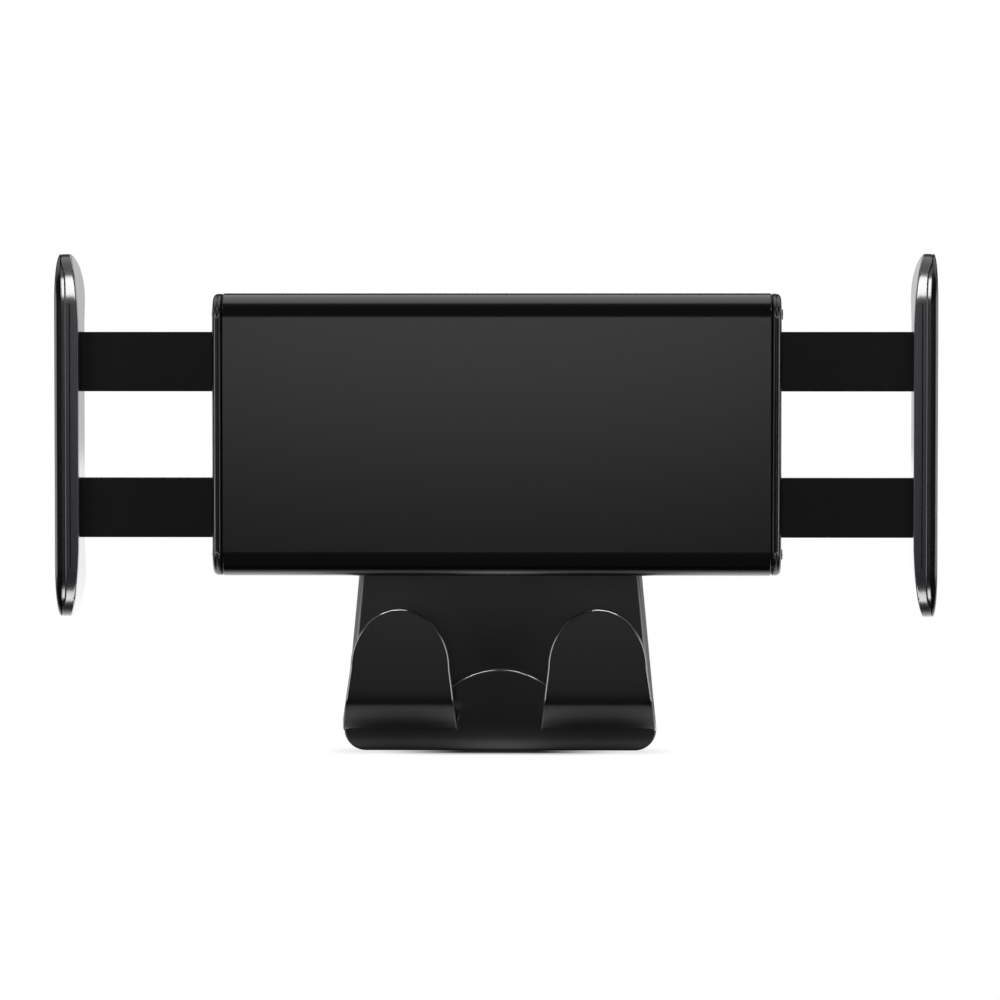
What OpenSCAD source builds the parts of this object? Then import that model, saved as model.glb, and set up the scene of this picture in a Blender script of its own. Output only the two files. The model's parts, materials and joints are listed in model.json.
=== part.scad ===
// Headrest tablet mount: a sliding two-jaw cradle on a ball joint, with a bar that grips the two headrest posts
// and a moulded double hook below. Millimetres. The origin is the centre of the cradle's front face.
// +X is the cradle's length, +Z is up, -Y points to the person who looks at the tablet.

/* [Cradle body] */
// Length of the cradle over its end caps
body_l = 125; // [118:0.5:150]
// Height of the cradle
body_h = 62.1; // [61:0.1:75]
// Depth of the cradle, front face to back face
body_d = 15; // [15:0.1:20]
// Wall of the extruded sleeve
sleeve_wall = 1.8; // [1.2:0.1:2]
// Radius along the sleeve's front edges
front_r = 5.5; // [3:0.1:6]
// Radius along the sleeve's back edges
back_r = 3; // [2:0.1:5]
// Thickness of an end cap outside the sleeve
cap_t = 2; // [1.5:0.1:4]
// Rounding of an end cap's rim
cap_edge_r = 1.1; // [0.5:0.1:1.4]
// Depth of the end cap's plug inside the sleeve
plug_d = 3; // [2:0.1:4]

/* [Sliding arms] */
// Distance from the cradle's top or bottom face to the nearer arm
arm_margin = 8.4; // [8.2:0.1:12]
// Thickness of a flat arm
arm_t = 4; // [3.4:0.1:4.2]
// Distance from the front face to the front of an arm
arm_y = 4.7; // [4.6:0.1:5]
// Width of the bridge between two arms
bridge_w = 6; // [4:0.1:8]
// Thickness of the bridge between two arms
bridge_t = 2; // [1.4:0.1:2.1]
// How far each jaw slides in from where it is stored
slide_in = 28; // [20:0.5:28]
// How far each jaw slides out from where it is stored
slide_out = 17; // [5:0.5:20]

/* [Rack and pinion] */
// Gear module
gear_m = 1; // [0.8:0.05:1]
// Number of pinion teeth
pinion_teeth = 10; // [8:2:10]
// Backlash left on each tooth
backlash = 0.16; // [0.1:0.02:0.24]
// Radius of the pinion's axle
axle_r = 2; // [1.5:0.1:2.2]
// Radius of the axle's head
axle_head_r = 3.6; // [3:0.1:4]
// Height of the bar behind a rack's teeth
rack_back = 2.4; // [2:0.1:3]
// Gap between the back of a rack and the arms
rack_clear = 1; // [0.6:0.1:3]

/* [Jaws] */
// Distance from the middle to a jaw's outer face, as stored
jaw_out = 95.8; // [95:0.1:104]
// Height of a jaw
jaw_h = 79.4; // [72:0.1:90]
// Distance from the front face to a jaw's front edge
jaw_front = 12; // [9:0.1:15]
// Distance from the front face to a jaw's back edge
jaw_back = 10; // [9.5:0.1:11]
// Thickness of a jaw's outer cover
shell_t = 1.6; // [1.5:0.1:3]
// Width of the groove between cover and core
groove_w = 0.65; // [0.3:0.05:1]
// Depth of the groove between cover and core
groove_d = 0.9; // [0.6:0.1:1.2]
// Thickness of a jaw's core plate at its rim
core_t = 1.3; // [1.2:0.1:4]
// How far the core's middle stands into the cover
spigot_t = 0.8; // [0.4:0.1:1]
// Thickness of the soft pad that meets the tablet
pad_t = 0.8; // [0.6:0.1:2]
// Thickness of the front lip that keeps the tablet in
lip_t = 3; // [2:0.1:4]
// How far the front lip stands in past the pad
lip_in = 0.9; // [0.4:0.1:3]
// Length over which a jaw's inner edge curves away at each end
jaw_bow = 16.6; // [10:0.1:25]

/* [Ball joint] */
// Distance from the front face to the ball's centre
ball_y = 30; // [29:0.1:36]
// Radius of the ball
ball_r = 8.5; // [8:0.1:9]
// Thickness of the two friction seats round the ball
seat_t = 2; // [1.5:0.1:2.4]
// Running clearance of the seats
seat_gap = 0.09; // [0.05:0.01:0.1]
// Radius of the ball's neck
neck_r = 4; // [3:0.1:4.2]
// Outer radius of the socket
socket_r = 13; // [12.8:0.1:13.4]
// Outer radius of the collar nut
collar_r = 16; // [15.2:0.1:16.4]
// Radius of the socket's flange
flange_r = 18.5; // [17.5:0.1:20]
// Radius of the circle of socket screws
flange_screw_pcr = 15.6; // [15.2:0.1:16]
// Number of grip flutes on the collar nut
collar_flutes = 18; // [12:1:24]

/* [Drop plate and hooks] */
// Distance from the front face to the drop plate
plate_y = 46; // [45.5:0.1:54]
// Thickness of the drop plate's sheet
plate_t = 2; // [1.5:0.1:2.4]
// Half width of the drop plate at its top
plate_top_w = 27.7; // [26:0.1:30]
// Half width of the drop plate near its foot
plate_foot_w = 35.6; // [34:0.1:38]
// Height of the drop plate's top
plate_top_z = 18; // [16:0.5:22]
// How far the drop plate's foot reaches below the hooks
plate_foot_drop = 5.4; // [3:0.1:12]
// Corner radius at the drop plate's foot
plate_corner_r = 5; // [3:0.1:7]
// Depth of the drop plate's turned-back sides
plate_side_d = 7; // [4:0.1:9]
// Thickness of the hook panel
panel_t = 2.5; // [2:0.1:3.5]
// Height of the arch's top on the hook panel, below the middle
arch_z = 54.8; // [52:0.1:58]
// Radius of the arch between the hooks
arch_r = 17.6; // [16:0.1:20]
// Depth of a hook's throat
hook_throat = 15.5; // [10:0.1:16]
// Thickness of a hook
hook_t = 2.2; // [1.8:0.1:3]
// Depth of a hook's underside below the middle
hook_low_z = 68; // [66:0.1:70]
// Depth of a hook's tip below the middle
hook_top_z = 39.9; // [39:0.1:44]
// Outer radius of a hook's bend
hook_bend_r = 8.8; // [6:0.1:9]
// Distance from the middle to the inner edge of a hook at its foot
hook_in = 9.1; // [8.5:0.1:12]
// Distance from the middle to the centre line of a hook's rounded top
hook_mid_x = 22.3; // [21.8:0.1:24]
// Half width of a hook's rounded top
hook_top_a = 11.2; // [9:0.1:11.4]
// Height of a hook's rounded top
hook_top_b = 13.3; // [8:0.1:15]

/* [Post bar] */
// Half length of the bar's housing
bar_l = 39.5; // [36:0.1:40]
// Half height of the bar's housing
bar_h = 15; // [14.8:0.1:16]
// Depth of the bar's housing
bar_d = 15; // [14.6:0.1:17]
// Wall of the housing
bar_wall = 2.2; // [1.6:0.1:2.4]
// Thickness of the housing's back cover
cover_t = 2; // [1.5:0.1:3]
// Height of a claw's flat arm
claw_arm_h = 15; // [12:0.1:15]
// Thickness of a claw's flat arm
claw_arm_t = 3; // [2.4:0.1:3.2]
// How far each claw slides out
claw_out = 25; // [10:0.5:28]
// Distance from the middle to a post's centre, as stored
post_x = 52; // [52:0.1:54]
// Radius of a headrest post
post_r = 6; // [5:0.1:6.2]
// Thickness of the rubber lining in a claw
lining_t = 1; // [0.6:0.1:1.4]
// Height of a claw's head
claw_h = 18; // [16:0.1:24]
// Radius of the lock knob
knob_r = 11.5; // [9:0.1:12.4]
// Thickness of the lock knob
knob_t = 9; // [7:0.1:12]
// Number of lobes on the lock knob
knob_lobes = 6; // [5:1:8]
// Radius of the lock screw
lock_r = 2.5; // [2:0.1:2.6]

/* [Fits and fasteners] */
// Gap between a sliding arm and its guide
slide_gap = 0.3; // [0.2:0.05:0.35]
// Running clearance of a pin in its bore
pin_gap = 0.05; // [0.02:0.01:0.1]
// Radius of a screw's shank
screw_r = 1.25; // [1:0.05:1.3]
// Radius of a screw's head
screw_head_r = 2.1; // [1.9:0.05:2.2]
// Thickness of a screw's head
screw_head_t = 1.2; // [0.8:0.1:1.4]
// Clearance round a screw's shank and head
screw_gap = 0.1; // [0.05:0.05:0.15]

/* [Hidden] */
$fn = 64;
eps = 0.01;

sleeve_l = body_l - 2 * cap_t;
cavity_h = body_h - 2 * sleeve_wall;
frame_gap = 0.1;
frame_t = 2;
frame_front = body_d - sleeve_wall - frame_gap - frame_t;
rail_t = 1.5;
cap_boss_l = 9;
cap_screw_y = body_d / 2;
cap_recess = 0.2;
plug_wall = 1.2;
cap_screw_z = cavity_h / 2 - frame_gap - plug_wall - screw_r - 0.2;
rib_t = 1.6;
rib_margin = 8.5;
rib_pitch = (sleeve_l / 2 - plug_d - cap_boss_l - rib_margin) / 2;

gear_t = 3.8;
rack_y = arm_y + 0.1;
pitch_r = gear_m * pinion_teeth / 2;
tip_r = pitch_r + 0.9 * gear_m;
root_r = pitch_r - 1.15 * gear_m;
tooth_pitch = PI * gear_m;
rack_root = pitch_r + 1.15 * gear_m;
rack_tip = pitch_r - 0.9 * gear_m;
rack_reach = slide_out + 3.5;
axle_head_t = 0.9;
washer_t = 0.3;
boss_r = 3.4;

arm_in_z = rack_root + rack_back + rack_clear;
arm_out_z = body_h / 2 - arm_margin;
arm_h = arm_out_z - arm_in_z;
arm_z = (arm_out_z + arm_in_z) / 2;
arm_in = slide_in + 2;
bridge_gap = 0.3;
bridge_x = arm_in + 3;
front_bridge_y = arm_y - bridge_gap - bridge_t;
back_bridge_y = rack_y + gear_t + bridge_gap;
rail_z = arm_out_z + slide_gap;

cover_in = jaw_out - shell_t;
core_out = cover_in - groove_w;
core_in = core_out - core_t;
pad_in = core_in - pad_t;
arm_socket = 0.8;
arm_tip = core_in + arm_socket;
jaw_d = jaw_front + jaw_back;
jaw_corner_r = jaw_d / 2 - 0.1;
jaw_edge = 0.9;
core_edge = 0.45;
jaw_screw_l = 9;
jaw_screw_x = cover_in + spigot_t - screw_head_t - 0.1;

cavity_r = ball_r + seat_t + 2 * seat_gap;
socket_flange_t = 3;
socket_rim_y = ball_y + 1;
collar_front = body_d + socket_flange_t + 1;
collar_back = ball_y + 10;
collar_lead = 1;
collar_round = 2.5;
collar_hole_y = 8;
collar_hole_r = sqrt(pow(cavity_r, 2) - pow(collar_hole_y, 2));
flute_r = 1.6;
flange_recess = 0.8;
socket_slot_w = 1;
socket_slot_y = ball_y - 4;
seat_slot_w = 1.2;
front_seat_y = -8;
rear_seat_y = 1.5;
front_seat_l = 4;
rear_seat_l = 4.5;
stud_r = neck_r - 0.5;
stud_flange_t = 2.6;
stud_flange_r = 7.4;
stud_nut_t = 2;
stud_nut_r = stud_r + 3.5;

plate_foot_z = hook_low_z + plate_foot_drop;
plate_taper_z = plate_foot_z - 7.4;
panel_y = plate_y - panel_t;
hook_tip_y = panel_y - hook_throat - hook_t;
hook_fillet = 4;
hook_screw_z = hook_low_z - hook_t - 1;
arch_screw_z = arch_z + 8;
hook_screw_blind = 0.5;
panel_shoulder_z = hook_low_z - hook_t - hook_fillet;
bar_stand = 1;
bar_pad_r = 4;
stud_pad_r = 8;
bar_y = plate_y + plate_t + bar_stand;
bar_in_y = bar_y + bar_wall;
claw_gap = 0.4;
claw_y_left = bar_in_y + stud_nut_t + claw_gap;
claw_y_right = claw_y_left + claw_arm_t + claw_gap;
claw_mid_y = claw_y_left + claw_arm_t + claw_gap / 2;
claw_head_l = 11.6;
claw_head_in = post_x - claw_head_l;
claw_head_d = 2 * (post_r + lining_t) + 1.6;
claw_tail = claw_out + 5;
claw_lug_l = 4;
claw_lug_h = 0.9;
claw_lug_x = bar_l - bar_wall - slide_gap - claw_out - claw_lug_l;
brake_y = claw_y_right + claw_arm_t + slide_gap;
brake_w = 12;
brake_t = 1.8;
lock_nut_t = 1.3;
bar_back = bar_y + bar_d;
bar_corner_r = 3;
bar_post_r = 2.2;
knob_y = bar_back + cover_t + 0.4;
knob_lobe_r = 3.4;
knob_core_in = 2;
knob_bore_l = 5.4;
lock_gap = 0.3;
lock_nut_w = 2.4;
bar_screw_x = 24;
bar_screw_z = bar_h - bar_wall - 1.9;
cover_screw_x = bar_l - bar_wall - 2;
cover_screw_l = 7;

// Shapes shared by several pieces

// A sleeve section in the YZ plane, drawn with x as depth and y as height
module sleeve_section(inset) {
  rf = front_r - inset;
  rb = max(back_r - inset, 0.4);
  h = body_h / 2 - inset;
  for (s = [-1, 1]) {
    translate([inset + rf, s * (h - rf)]) circle(rf);
    translate([body_d - inset - rb, s * (h - rb)]) circle(rb);
  }
  translate([inset, -h + rf]) square([body_d - 2 * inset, 2 * (h - rf)]);
  translate([inset + rf, -h]) square([body_d - 2 * inset - rf - rb, 2 * h]);
  translate([body_d / 2, -h + rb]) square([body_d / 2 - inset, 2 * (h - rb)]);
}

// Extrudes a section drawn as depth and height along +X from x0
module along_x(x0, l) {
  translate([x0, 0, 0]) rotate([90, 0, 90]) linear_extrude(l) children();
}

// A cylinder along +Y from y0
module along_y(y0, l, r) {
  translate([0, y0 + l, 0]) rotate([90, 0, 0]) cylinder(r = r, h = l);
}

// Extrudes an outline drawn as width and height along +Y from y0
module slab_y(y0, l) {
  translate([0, y0 + l, 0]) rotate([90, 0, 0]) linear_extrude(l) children();
}

// A pan head screw along +Y with a cross recess, its head's seat at y0
module screw_y(y0, l) {
  difference() {
    union() {
      along_y(y0 - screw_head_t, screw_head_t, screw_head_r);
      along_y(y0 - eps, l + eps, screw_r);
    }
    for (a = [0, 90])
      rotate([0, a, 0]) translate([-1.1, y0 - screw_head_t - eps, -0.25]) cube([2.2, 0.7, 0.5]);
  }
}

// A pinion outline with straight-sided teeth on the gear module
module pinion_outline() {
  half = tooth_pitch / 4 - backlash / 2;
  root = half * 0.72;
  circle(root_r);
  for (i = [0 : pinion_teeth - 1])
    rotate(90 + (i + 0.5) * 360 / pinion_teeth)
      polygon([
        [root_r - 0.5, -root], [root_r, -root], [pitch_r, -half], [tip_r, -half * 0.42],
        [tip_r, half * 0.42], [pitch_r, half], [root_r, root], [root_r - 0.5, root]
      ]);
}

// A rack outline along x whose teeth point down to a pinion at the origin
module rack_outline(x0, x1) {
  half = tooth_pitch / 4 - backlash / 2;
  tan20 = tan(20);
  translate([x0, rack_root - eps]) square([x1 - x0, rack_back + eps]);
  for (i = [ceil((x0 + 1.3) / tooth_pitch) : floor((x1 - 1.3) / tooth_pitch)])
    translate([i * tooth_pitch, 0])
      polygon([
        [-half - (rack_root - pitch_r) * tan20, rack_root], [-half + (pitch_r - rack_tip) * tan20, rack_tip],
        [half - (pitch_r - rack_tip) * tan20, rack_tip], [half + (rack_root - pitch_r) * tan20, rack_root]
      ]);
}

// Cradle

module body_sleeve() {
  color([0.13, 0.13, 0.13])
    difference() {
      along_x(-sleeve_l / 2, sleeve_l) difference() {
        sleeve_section(0);
        sleeve_section(sleeve_wall);
      }
      for (a = [45 : 90 : 315])
        rotate([0, a, 0]) translate([flange_screw_pcr, 0, 0])
          along_y(body_d - sleeve_wall - 1, sleeve_wall + 2, screw_r + screw_gap);
    }
}

module end_cap() {
  difference() {
    union() {
      hull()
        for (a = [0 : 18 : 90])
          along_x(body_l / 2 - cap_edge_r * (1 - sin(a)) - 0.02, 0.02) sleeve_section(cap_edge_r * (1 - cos(a)));
      along_x(sleeve_l / 2, cap_t - cap_edge_r + 0.02) sleeve_section(0);
      difference() {
        along_x(sleeve_l / 2 - plug_d, plug_d + eps) sleeve_section(sleeve_wall + frame_gap);
        along_x(sleeve_l / 2 - plug_d - eps, plug_d + 2 * eps) sleeve_section(sleeve_wall + frame_gap + plug_wall);
      }
    }
    for (s = [-1, 1]) {
      translate([sleeve_l / 2 - plug_d - 1, arm_y - slide_gap, s * arm_z - arm_h / 2 - slide_gap])
        cube([plug_d + cap_t + 2, arm_t + 2 * slide_gap, arm_h + 2 * slide_gap]);
      translate([sleeve_l / 2 - 1, cap_screw_y, s * cap_screw_z]) rotate([0, 90, 0]) {
        cylinder(r = screw_r + screw_gap, h = cap_t + 2);
        translate([0, 0, 1 + cap_t - screw_head_t - cap_recess]) cylinder(r = screw_head_r + screw_gap, h = cap_t + 1);
      }
    }
  }
}

module right_end_cap() { color([0.15, 0.15, 0.15]) end_cap(); }
module left_end_cap() { color([0.15, 0.15, 0.15]) mirror([1, 0, 0]) end_cap(); }

module end_cap_screws() {
  color([0.3, 0.3, 0.32])
    for (m = [0, 1]) mirror([m, 0, 0])
      for (s = [-1, 1])
        translate([body_l / 2 - cap_recess, cap_screw_y, s * cap_screw_z]) rotate([0, 0, 90])
          translate([0, screw_head_t, 0]) screw_y(0, cap_boss_l);
}

module guide_frame() {
  h = cavity_h / 2 - frame_gap;
  color([0.1, 0.1, 0.11])
    difference() {
      union() {
        // Back plate with a window between the rails at each end
        slab_y(frame_front, frame_t) square([sleeve_l - 2 * plug_d - 1, 2 * h - 3], center = true);
        for (s = [-1, 1]) {
          // Rails outside the arms
          translate([-sleeve_l / 2 + plug_d + 0.5, arm_y - 0.6, s > 0 ? rail_z : -rail_z - rail_t])
            cube([sleeve_l - 2 * plug_d - 1, frame_front - arm_y + 0.7, rail_t]);
          // Ribs from the rails out to the sleeve
          for (i = [-2 : 2])
            translate([i * rib_pitch - rib_t / 2, arm_y, s > 0 ? rail_z : -h + 0.4])
              cube([rib_t, frame_front - arm_y + 0.1, h - 0.4 - rail_z]);
          // Bosses that take the end cap screws
          for (m = [0, 1]) mirror([m, 0, 0])
            translate([sleeve_l / 2 - plug_d - 0.5 - cap_boss_l, cap_screw_y - screw_head_r, s > 0 ? rail_z : -h + 0.4])
              cube([cap_boss_l, frame_front - cap_screw_y + screw_head_r + 0.1, h - 0.4 - rail_z]);
        }
        // Boss that carries the pinion
        along_y(back_bridge_y - 0.2, frame_front - back_bridge_y + 0.3, boss_r);
      }
      along_y(0, body_d, axle_r);
      for (a = [45 : 90 : 315])
        rotate([0, a, 0]) translate([flange_screw_pcr, 0, 0]) along_y(frame_front - 1, frame_t + 2, screw_r);
      for (s = [-1, 1], m = [0, 1]) mirror([m, 0, 0])
        translate([sleeve_l / 2 - plug_d - cap_boss_l - 3, cap_screw_y, s * cap_screw_z]) rotate([0, 90, 0])
          cylinder(r = screw_r, h = cap_boss_l + 5);
    }
}

module pinion_gear() {
  color([0.85, 0.84, 0.8])
    difference() {
      slab_y(rack_y, gear_t) pinion_outline();
      along_y(rack_y - 1, gear_t + 2, axle_r + pin_gap);
    }
}

module pinion_axle() {
  y0 = rack_y - washer_t - 0.1;
  color([0.7, 0.7, 0.72]) {
    along_y(y0 - axle_head_t, axle_head_t, axle_head_r);
    along_y(y0 - eps, frame_front + frame_t - y0, axle_r);
  }
}

module friction_washer() {
  color([0.75, 0.75, 0.76])
    difference() {
      along_y(rack_y - washer_t - 0.05, washer_t, axle_head_r);
      along_y(0, body_d, axle_r + pin_gap);
    }
}

// Two flat arms, the bridge that joins them and the rack that reaches past the pinion
module slider(bridge_y) {
  for (s = [-1, 1])
    translate([arm_in, arm_y, s * arm_z - arm_h / 2]) cube([arm_tip - arm_in, arm_t, arm_h]);
  translate([bridge_x, bridge_y, -arm_out_z]) cube([bridge_w, bridge_t, 2 * arm_out_z]);
  for (s = [-1, 1])
    translate([bridge_x, min(bridge_y, arm_y), s * arm_z - arm_h / 2])
      cube([bridge_w, max(bridge_y + bridge_t, arm_y + arm_t) - min(bridge_y, arm_y), arm_h]);
  slab_y(rack_y, gear_t) rack_outline(-rack_reach, bridge_x + bridge_w);
  translate([bridge_x, min(bridge_y, rack_y), rack_root])
    cube([bridge_w, max(bridge_y + bridge_t, rack_y + gear_t) - min(bridge_y, rack_y), rack_back]);
}

module jaw_screw_holes(r) {
  for (s = [-1, 1])
    translate([arm_tip - jaw_screw_l, arm_y + arm_t / 2, s * arm_z]) rotate([0, 90, 0]) cylinder(r = r, h = jaw_screw_l + 1);
}

module right_slider() {
  color([0.1, 0.1, 0.1]) difference() {
    mirror([0, 0, 1]) slider(back_bridge_y);
    jaw_screw_holes(screw_r);
  }
}

module left_slider() {
  color([0.1, 0.1, 0.1]) mirror([1, 0, 0]) difference() {
    slider(front_bridge_y);
    jaw_screw_holes(screw_r);
  }
}

// Jaws

// A jaw's side outline in the YZ plane, drawn with x as depth and y as height
module jaw_side(inset) {
  r = jaw_corner_r - inset;
  h = jaw_h / 2 - inset;
  for (s = [-1, 1], k = [-jaw_front + jaw_corner_r, jaw_back - jaw_corner_r])
    translate([k, s * (jaw_h / 2 - jaw_corner_r)]) circle(r);
  translate([-jaw_front + inset, -jaw_h / 2 + jaw_corner_r])
    square([jaw_d - 2 * inset, jaw_h - 2 * jaw_corner_r]);
  translate([-jaw_front + jaw_corner_r, -h]) square([jaw_d - 2 * jaw_corner_r, 2 * h]);
}

// The inner edge of a jaw seen from the front: straight, then curving away over the last stretch at each end
function bow(z, depth) = let (t = max(0, abs(z) - (jaw_h / 2 - jaw_bow)) / jaw_bow) depth * (1 - sqrt(1 - 0.94 * t * t));
module jaw_front_outline(x_in, x_out, depth) {
  n = 24;
  polygon(concat(
    [[x_out, -jaw_h / 2], [x_out, jaw_h / 2]],
    [for (i = [0 : n]) let (z = jaw_h / 2 - i * jaw_bow / n) [x_in + bow(z, depth), z]],
    [for (i = [0 : n]) let (z = -jaw_h / 2 + jaw_bow - i * jaw_bow / n) [x_in + bow(z, depth), z]]
  ));
}

module jaw_core() {
  difference() {
    union() {
      // Core plate with a chamfer along its outer rim
      intersection() {
        hull() {
          along_x(core_in, core_t - core_edge) jaw_side(0);
          along_x(core_out - 0.02, 0.02) jaw_side(core_edge);
        }
        slab_y(-jaw_front - 1, jaw_d + 2) jaw_front_outline(core_in, core_out + 1, core_t * 0.9);
      }
      // Spigot that the cover sits on, which leaves the groove round it
      along_x(core_out - eps, groove_w + spigot_t + eps) jaw_side(groove_d);
      // Front lip
      intersection() {
        along_x(pad_in - lip_in, pad_t + lip_in + eps) jaw_side(0);
        translate([0, -jaw_front, -jaw_h]) cube([2 * jaw_out, lip_t, 2 * jaw_h]);
        slab_y(-jaw_front - 1, jaw_d + 2)
          jaw_front_outline(pad_in - lip_in, core_in + 1, pad_t + lip_in);
      }
    }
    for (s = [-1, 1]) {
      translate([core_in - 10, arm_y, s * arm_z - arm_h / 2]) cube([10 + arm_tip - core_in, arm_t, arm_h]);
      translate([core_in - 1, arm_y + arm_t / 2, s * arm_z]) rotate([0, 90, 0])
        cylinder(r = screw_r + screw_gap, h = jaw_screw_x - core_in + 2);
      translate([jaw_screw_x, arm_y + arm_t / 2, s * arm_z]) rotate([0, 90, 0])
        cylinder(r = screw_head_r + screw_gap, h = screw_head_t + 1);
    }
  }
}

module jaw_cover() {
  difference() {
    hull() {
      along_x(cover_in, 0.02) jaw_side(0.15);
      for (a = [0 : 18 : 90])
        along_x(jaw_out - jaw_edge * (1 - sin(a)) - 0.02, 0.02) jaw_side(jaw_edge * (1 - cos(a)));
    }
    along_x(cover_in - 1, spigot_t + 1) jaw_side(groove_d - 0.1);
  }
}

// The soft pad behind the front lip, with openings where the arms pass
module jaw_pad() {
  difference() {
    intersection() {
      along_x(pad_in, pad_t) jaw_side(0.5);
      translate([0, -jaw_front + lip_t, -jaw_h]) cube([2 * jaw_out, jaw_d, 2 * jaw_h]);
      slab_y(-jaw_front - 1, jaw_d + 2) jaw_front_outline(pad_in, core_in + 1, pad_t * 0.95);
    }
    for (s = [-1, 1])
      translate([pad_in - 5, arm_y - 0.1, s * arm_z - arm_h / 2 - 0.1]) cube([20, arm_t + 0.2, arm_h + 0.2]);
  }
}

module jaw_screws() {
  for (s = [-1, 1])
    translate([jaw_screw_x, arm_y + arm_t / 2, s * arm_z]) rotate([0, 0, 90])
      screw_y(0, jaw_screw_x - arm_tip + jaw_screw_l - 1);
}

module right_jaw_core() { color([0.12, 0.12, 0.12]) jaw_core(); }
module left_jaw_core() { color([0.12, 0.12, 0.12]) mirror([1, 0, 0]) jaw_core(); }
module right_jaw_cover() { color([0.2, 0.2, 0.2]) jaw_cover(); }
module left_jaw_cover() { color([0.2, 0.2, 0.2]) mirror([1, 0, 0]) jaw_cover(); }
module right_jaw_pad() { color([0.08, 0.08, 0.08]) jaw_pad(); }
module left_jaw_pad() { color([0.08, 0.08, 0.08]) mirror([1, 0, 0]) jaw_pad(); }
module right_jaw_screws() { color([0.3, 0.3, 0.32]) jaw_screws(); }
module left_jaw_screws() { color([0.3, 0.3, 0.32]) mirror([1, 0, 0]) jaw_screws(); }

// Ball joint

module at_ball() { translate([0, ball_y, 0]) children(); }

// A solid of revolution about the Y line through the ball, from a profile drawn as radius and distance behind it
module turned() {
  at_ball() rotate([-90, 0, 0]) rotate_extrude() children();
}

module ball_socket() {
  y0 = body_d - ball_y;
  color([0.12, 0.12, 0.12])
    difference() {
      turned() difference() {
        union() {
          translate([0, y0]) square([flange_r, socket_flange_t]);
          translate([0, y0]) square([socket_r, socket_rim_y - body_d]);
        }
        circle(cavity_r, $fn = 96);
      }
      for (a = [45 : 90 : 315])
        rotate([0, a, 0]) translate([flange_screw_pcr, 0, 0]) {
          along_y(body_d - 1, socket_flange_t + 2, screw_r + screw_gap);
          along_y(body_d + socket_flange_t - flange_recess, socket_flange_t, screw_head_r + screw_gap);
        }
      // Slots that let the socket's wall close on its seats
      for (a = [0, 90])
        rotate([0, a, 0]) translate([-socket_r - 1, socket_slot_y, -socket_slot_w / 2])
          cube([2 * socket_r + 2, socket_rim_y - socket_slot_y + 1, socket_slot_w]);
    }
}

module socket_screws() {
  color([0.3, 0.3, 0.32])
    for (a = [45 : 90 : 315])
      rotate([0, a, 0]) translate([flange_screw_pcr, body_d + socket_flange_t - flange_recess, 0])
        mirror([0, 1, 0]) screw_y(0, socket_flange_t + sleeve_wall + 1);
}

module seat_ring(y_front, l) {
  r_in = ball_r + seat_gap;
  r_out = ball_r + seat_gap + seat_t;
  intersection() {
    difference() {
      at_ball() sphere(r_out, $fn = 96);
      at_ball() sphere(r_in, $fn = 96);
    }
    at_ball() along_y(y_front, l, r_out + 1);
  }
}

module front_ball_seat() { color([0.75, 0.73, 0.68]) seat_ring(front_seat_y, front_seat_l); }

module rear_ball_seat() {
  color([0.75, 0.73, 0.68])
    difference() {
      seat_ring(rear_seat_y, rear_seat_l);
      at_ball() translate([-seat_slot_w / 2, 0, 0]) cube([seat_slot_w, rear_seat_y + rear_seat_l + 1, 2 * cavity_r]);
    }
}

module collar_nut() {
  color([0.1, 0.1, 0.1])
    difference() {
      turned() difference() {
        polygon([
          [0, collar_front - ball_y], [collar_r - collar_lead, collar_front - ball_y],
          [collar_r, collar_front - ball_y + collar_lead], [collar_r, collar_back - ball_y - collar_round],
          [collar_r - collar_round, collar_back - ball_y], [0, collar_back - ball_y]
        ]);
        translate([-eps, collar_front - ball_y - 1]) square([socket_r + pin_gap + eps, socket_rim_y - collar_front + 1.3]);
      }
      at_ball() sphere(cavity_r, $fn = 96);
      at_ball() rotate([-90, 0, 0]) translate([0, 0, collar_hole_y - 2])
        cylinder(r1 = collar_hole_r - 1.2, r2 = collar_hole_r + 2.6, h = 6);
      for (i = [0 : collar_flutes - 1])
        rotate([0, i * 360 / collar_flutes, 0]) translate([collar_r + 1, 0, 0])
          along_y(collar_front + 2 * collar_lead, collar_back - collar_front, flute_r);
    }
}

module ball_stud() {
  color([0.55, 0.55, 0.57]) {
    at_ball() sphere(ball_r, $fn = 96);
    along_y(ball_y + 4, plate_y - ball_y - 4, neck_r);
    slab_y(plate_y - stud_flange_t, stud_flange_t) circle(stud_flange_r, $fn = 6);
    along_y(plate_y - eps, bar_in_y + stud_nut_t - plate_y + eps, stud_r);
  }
}

module stud_nut() {
  color([0.6, 0.6, 0.62])
    difference() {
      slab_y(bar_in_y, stud_nut_t) circle(stud_nut_r, $fn = 6);
      along_y(bar_in_y - 1, stud_nut_t + 2, stud_r);
    }
}

// Drop plate and hooks

// Half width of the drop plate at height z
function plate_w(z) = plate_top_w + (plate_foot_w - plate_top_w) * (plate_top_z - z) / (plate_top_z + plate_taper_z);

// The plate's outline, inset, from its foot up to z1
module plate_outline(z1, inset) {
  zc = -plate_foot_z + plate_corner_r;
  xc = plate_w(zc) - plate_corner_r;
  r = plate_corner_r - inset;
  n = 10;
  polygon(concat(
    [for (i = [0 : n]) let (a = -90 * i / n) [xc + r * cos(a), zc + r * sin(a)]],
    [for (i = [n : -1 : 0]) let (a = -90 * i / n) [-xc - r * cos(a), zc + r * sin(a)]],
    [[-plate_w(z1) + inset, z1], [plate_w(z1) - inset, z1]]
  ));
}

module hook_screw_places() {
  for (s = [-1, 1]) translate([s * hook_mid_x, 0, -hook_screw_z]) children();
  translate([0, 0, -arch_screw_z]) children();
}

module bar_screw_places() {
  for (sx = [-1, 1], sz = [-1, 1]) translate([sx * bar_screw_x, 0, sz * bar_screw_z]) children();
}

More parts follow.
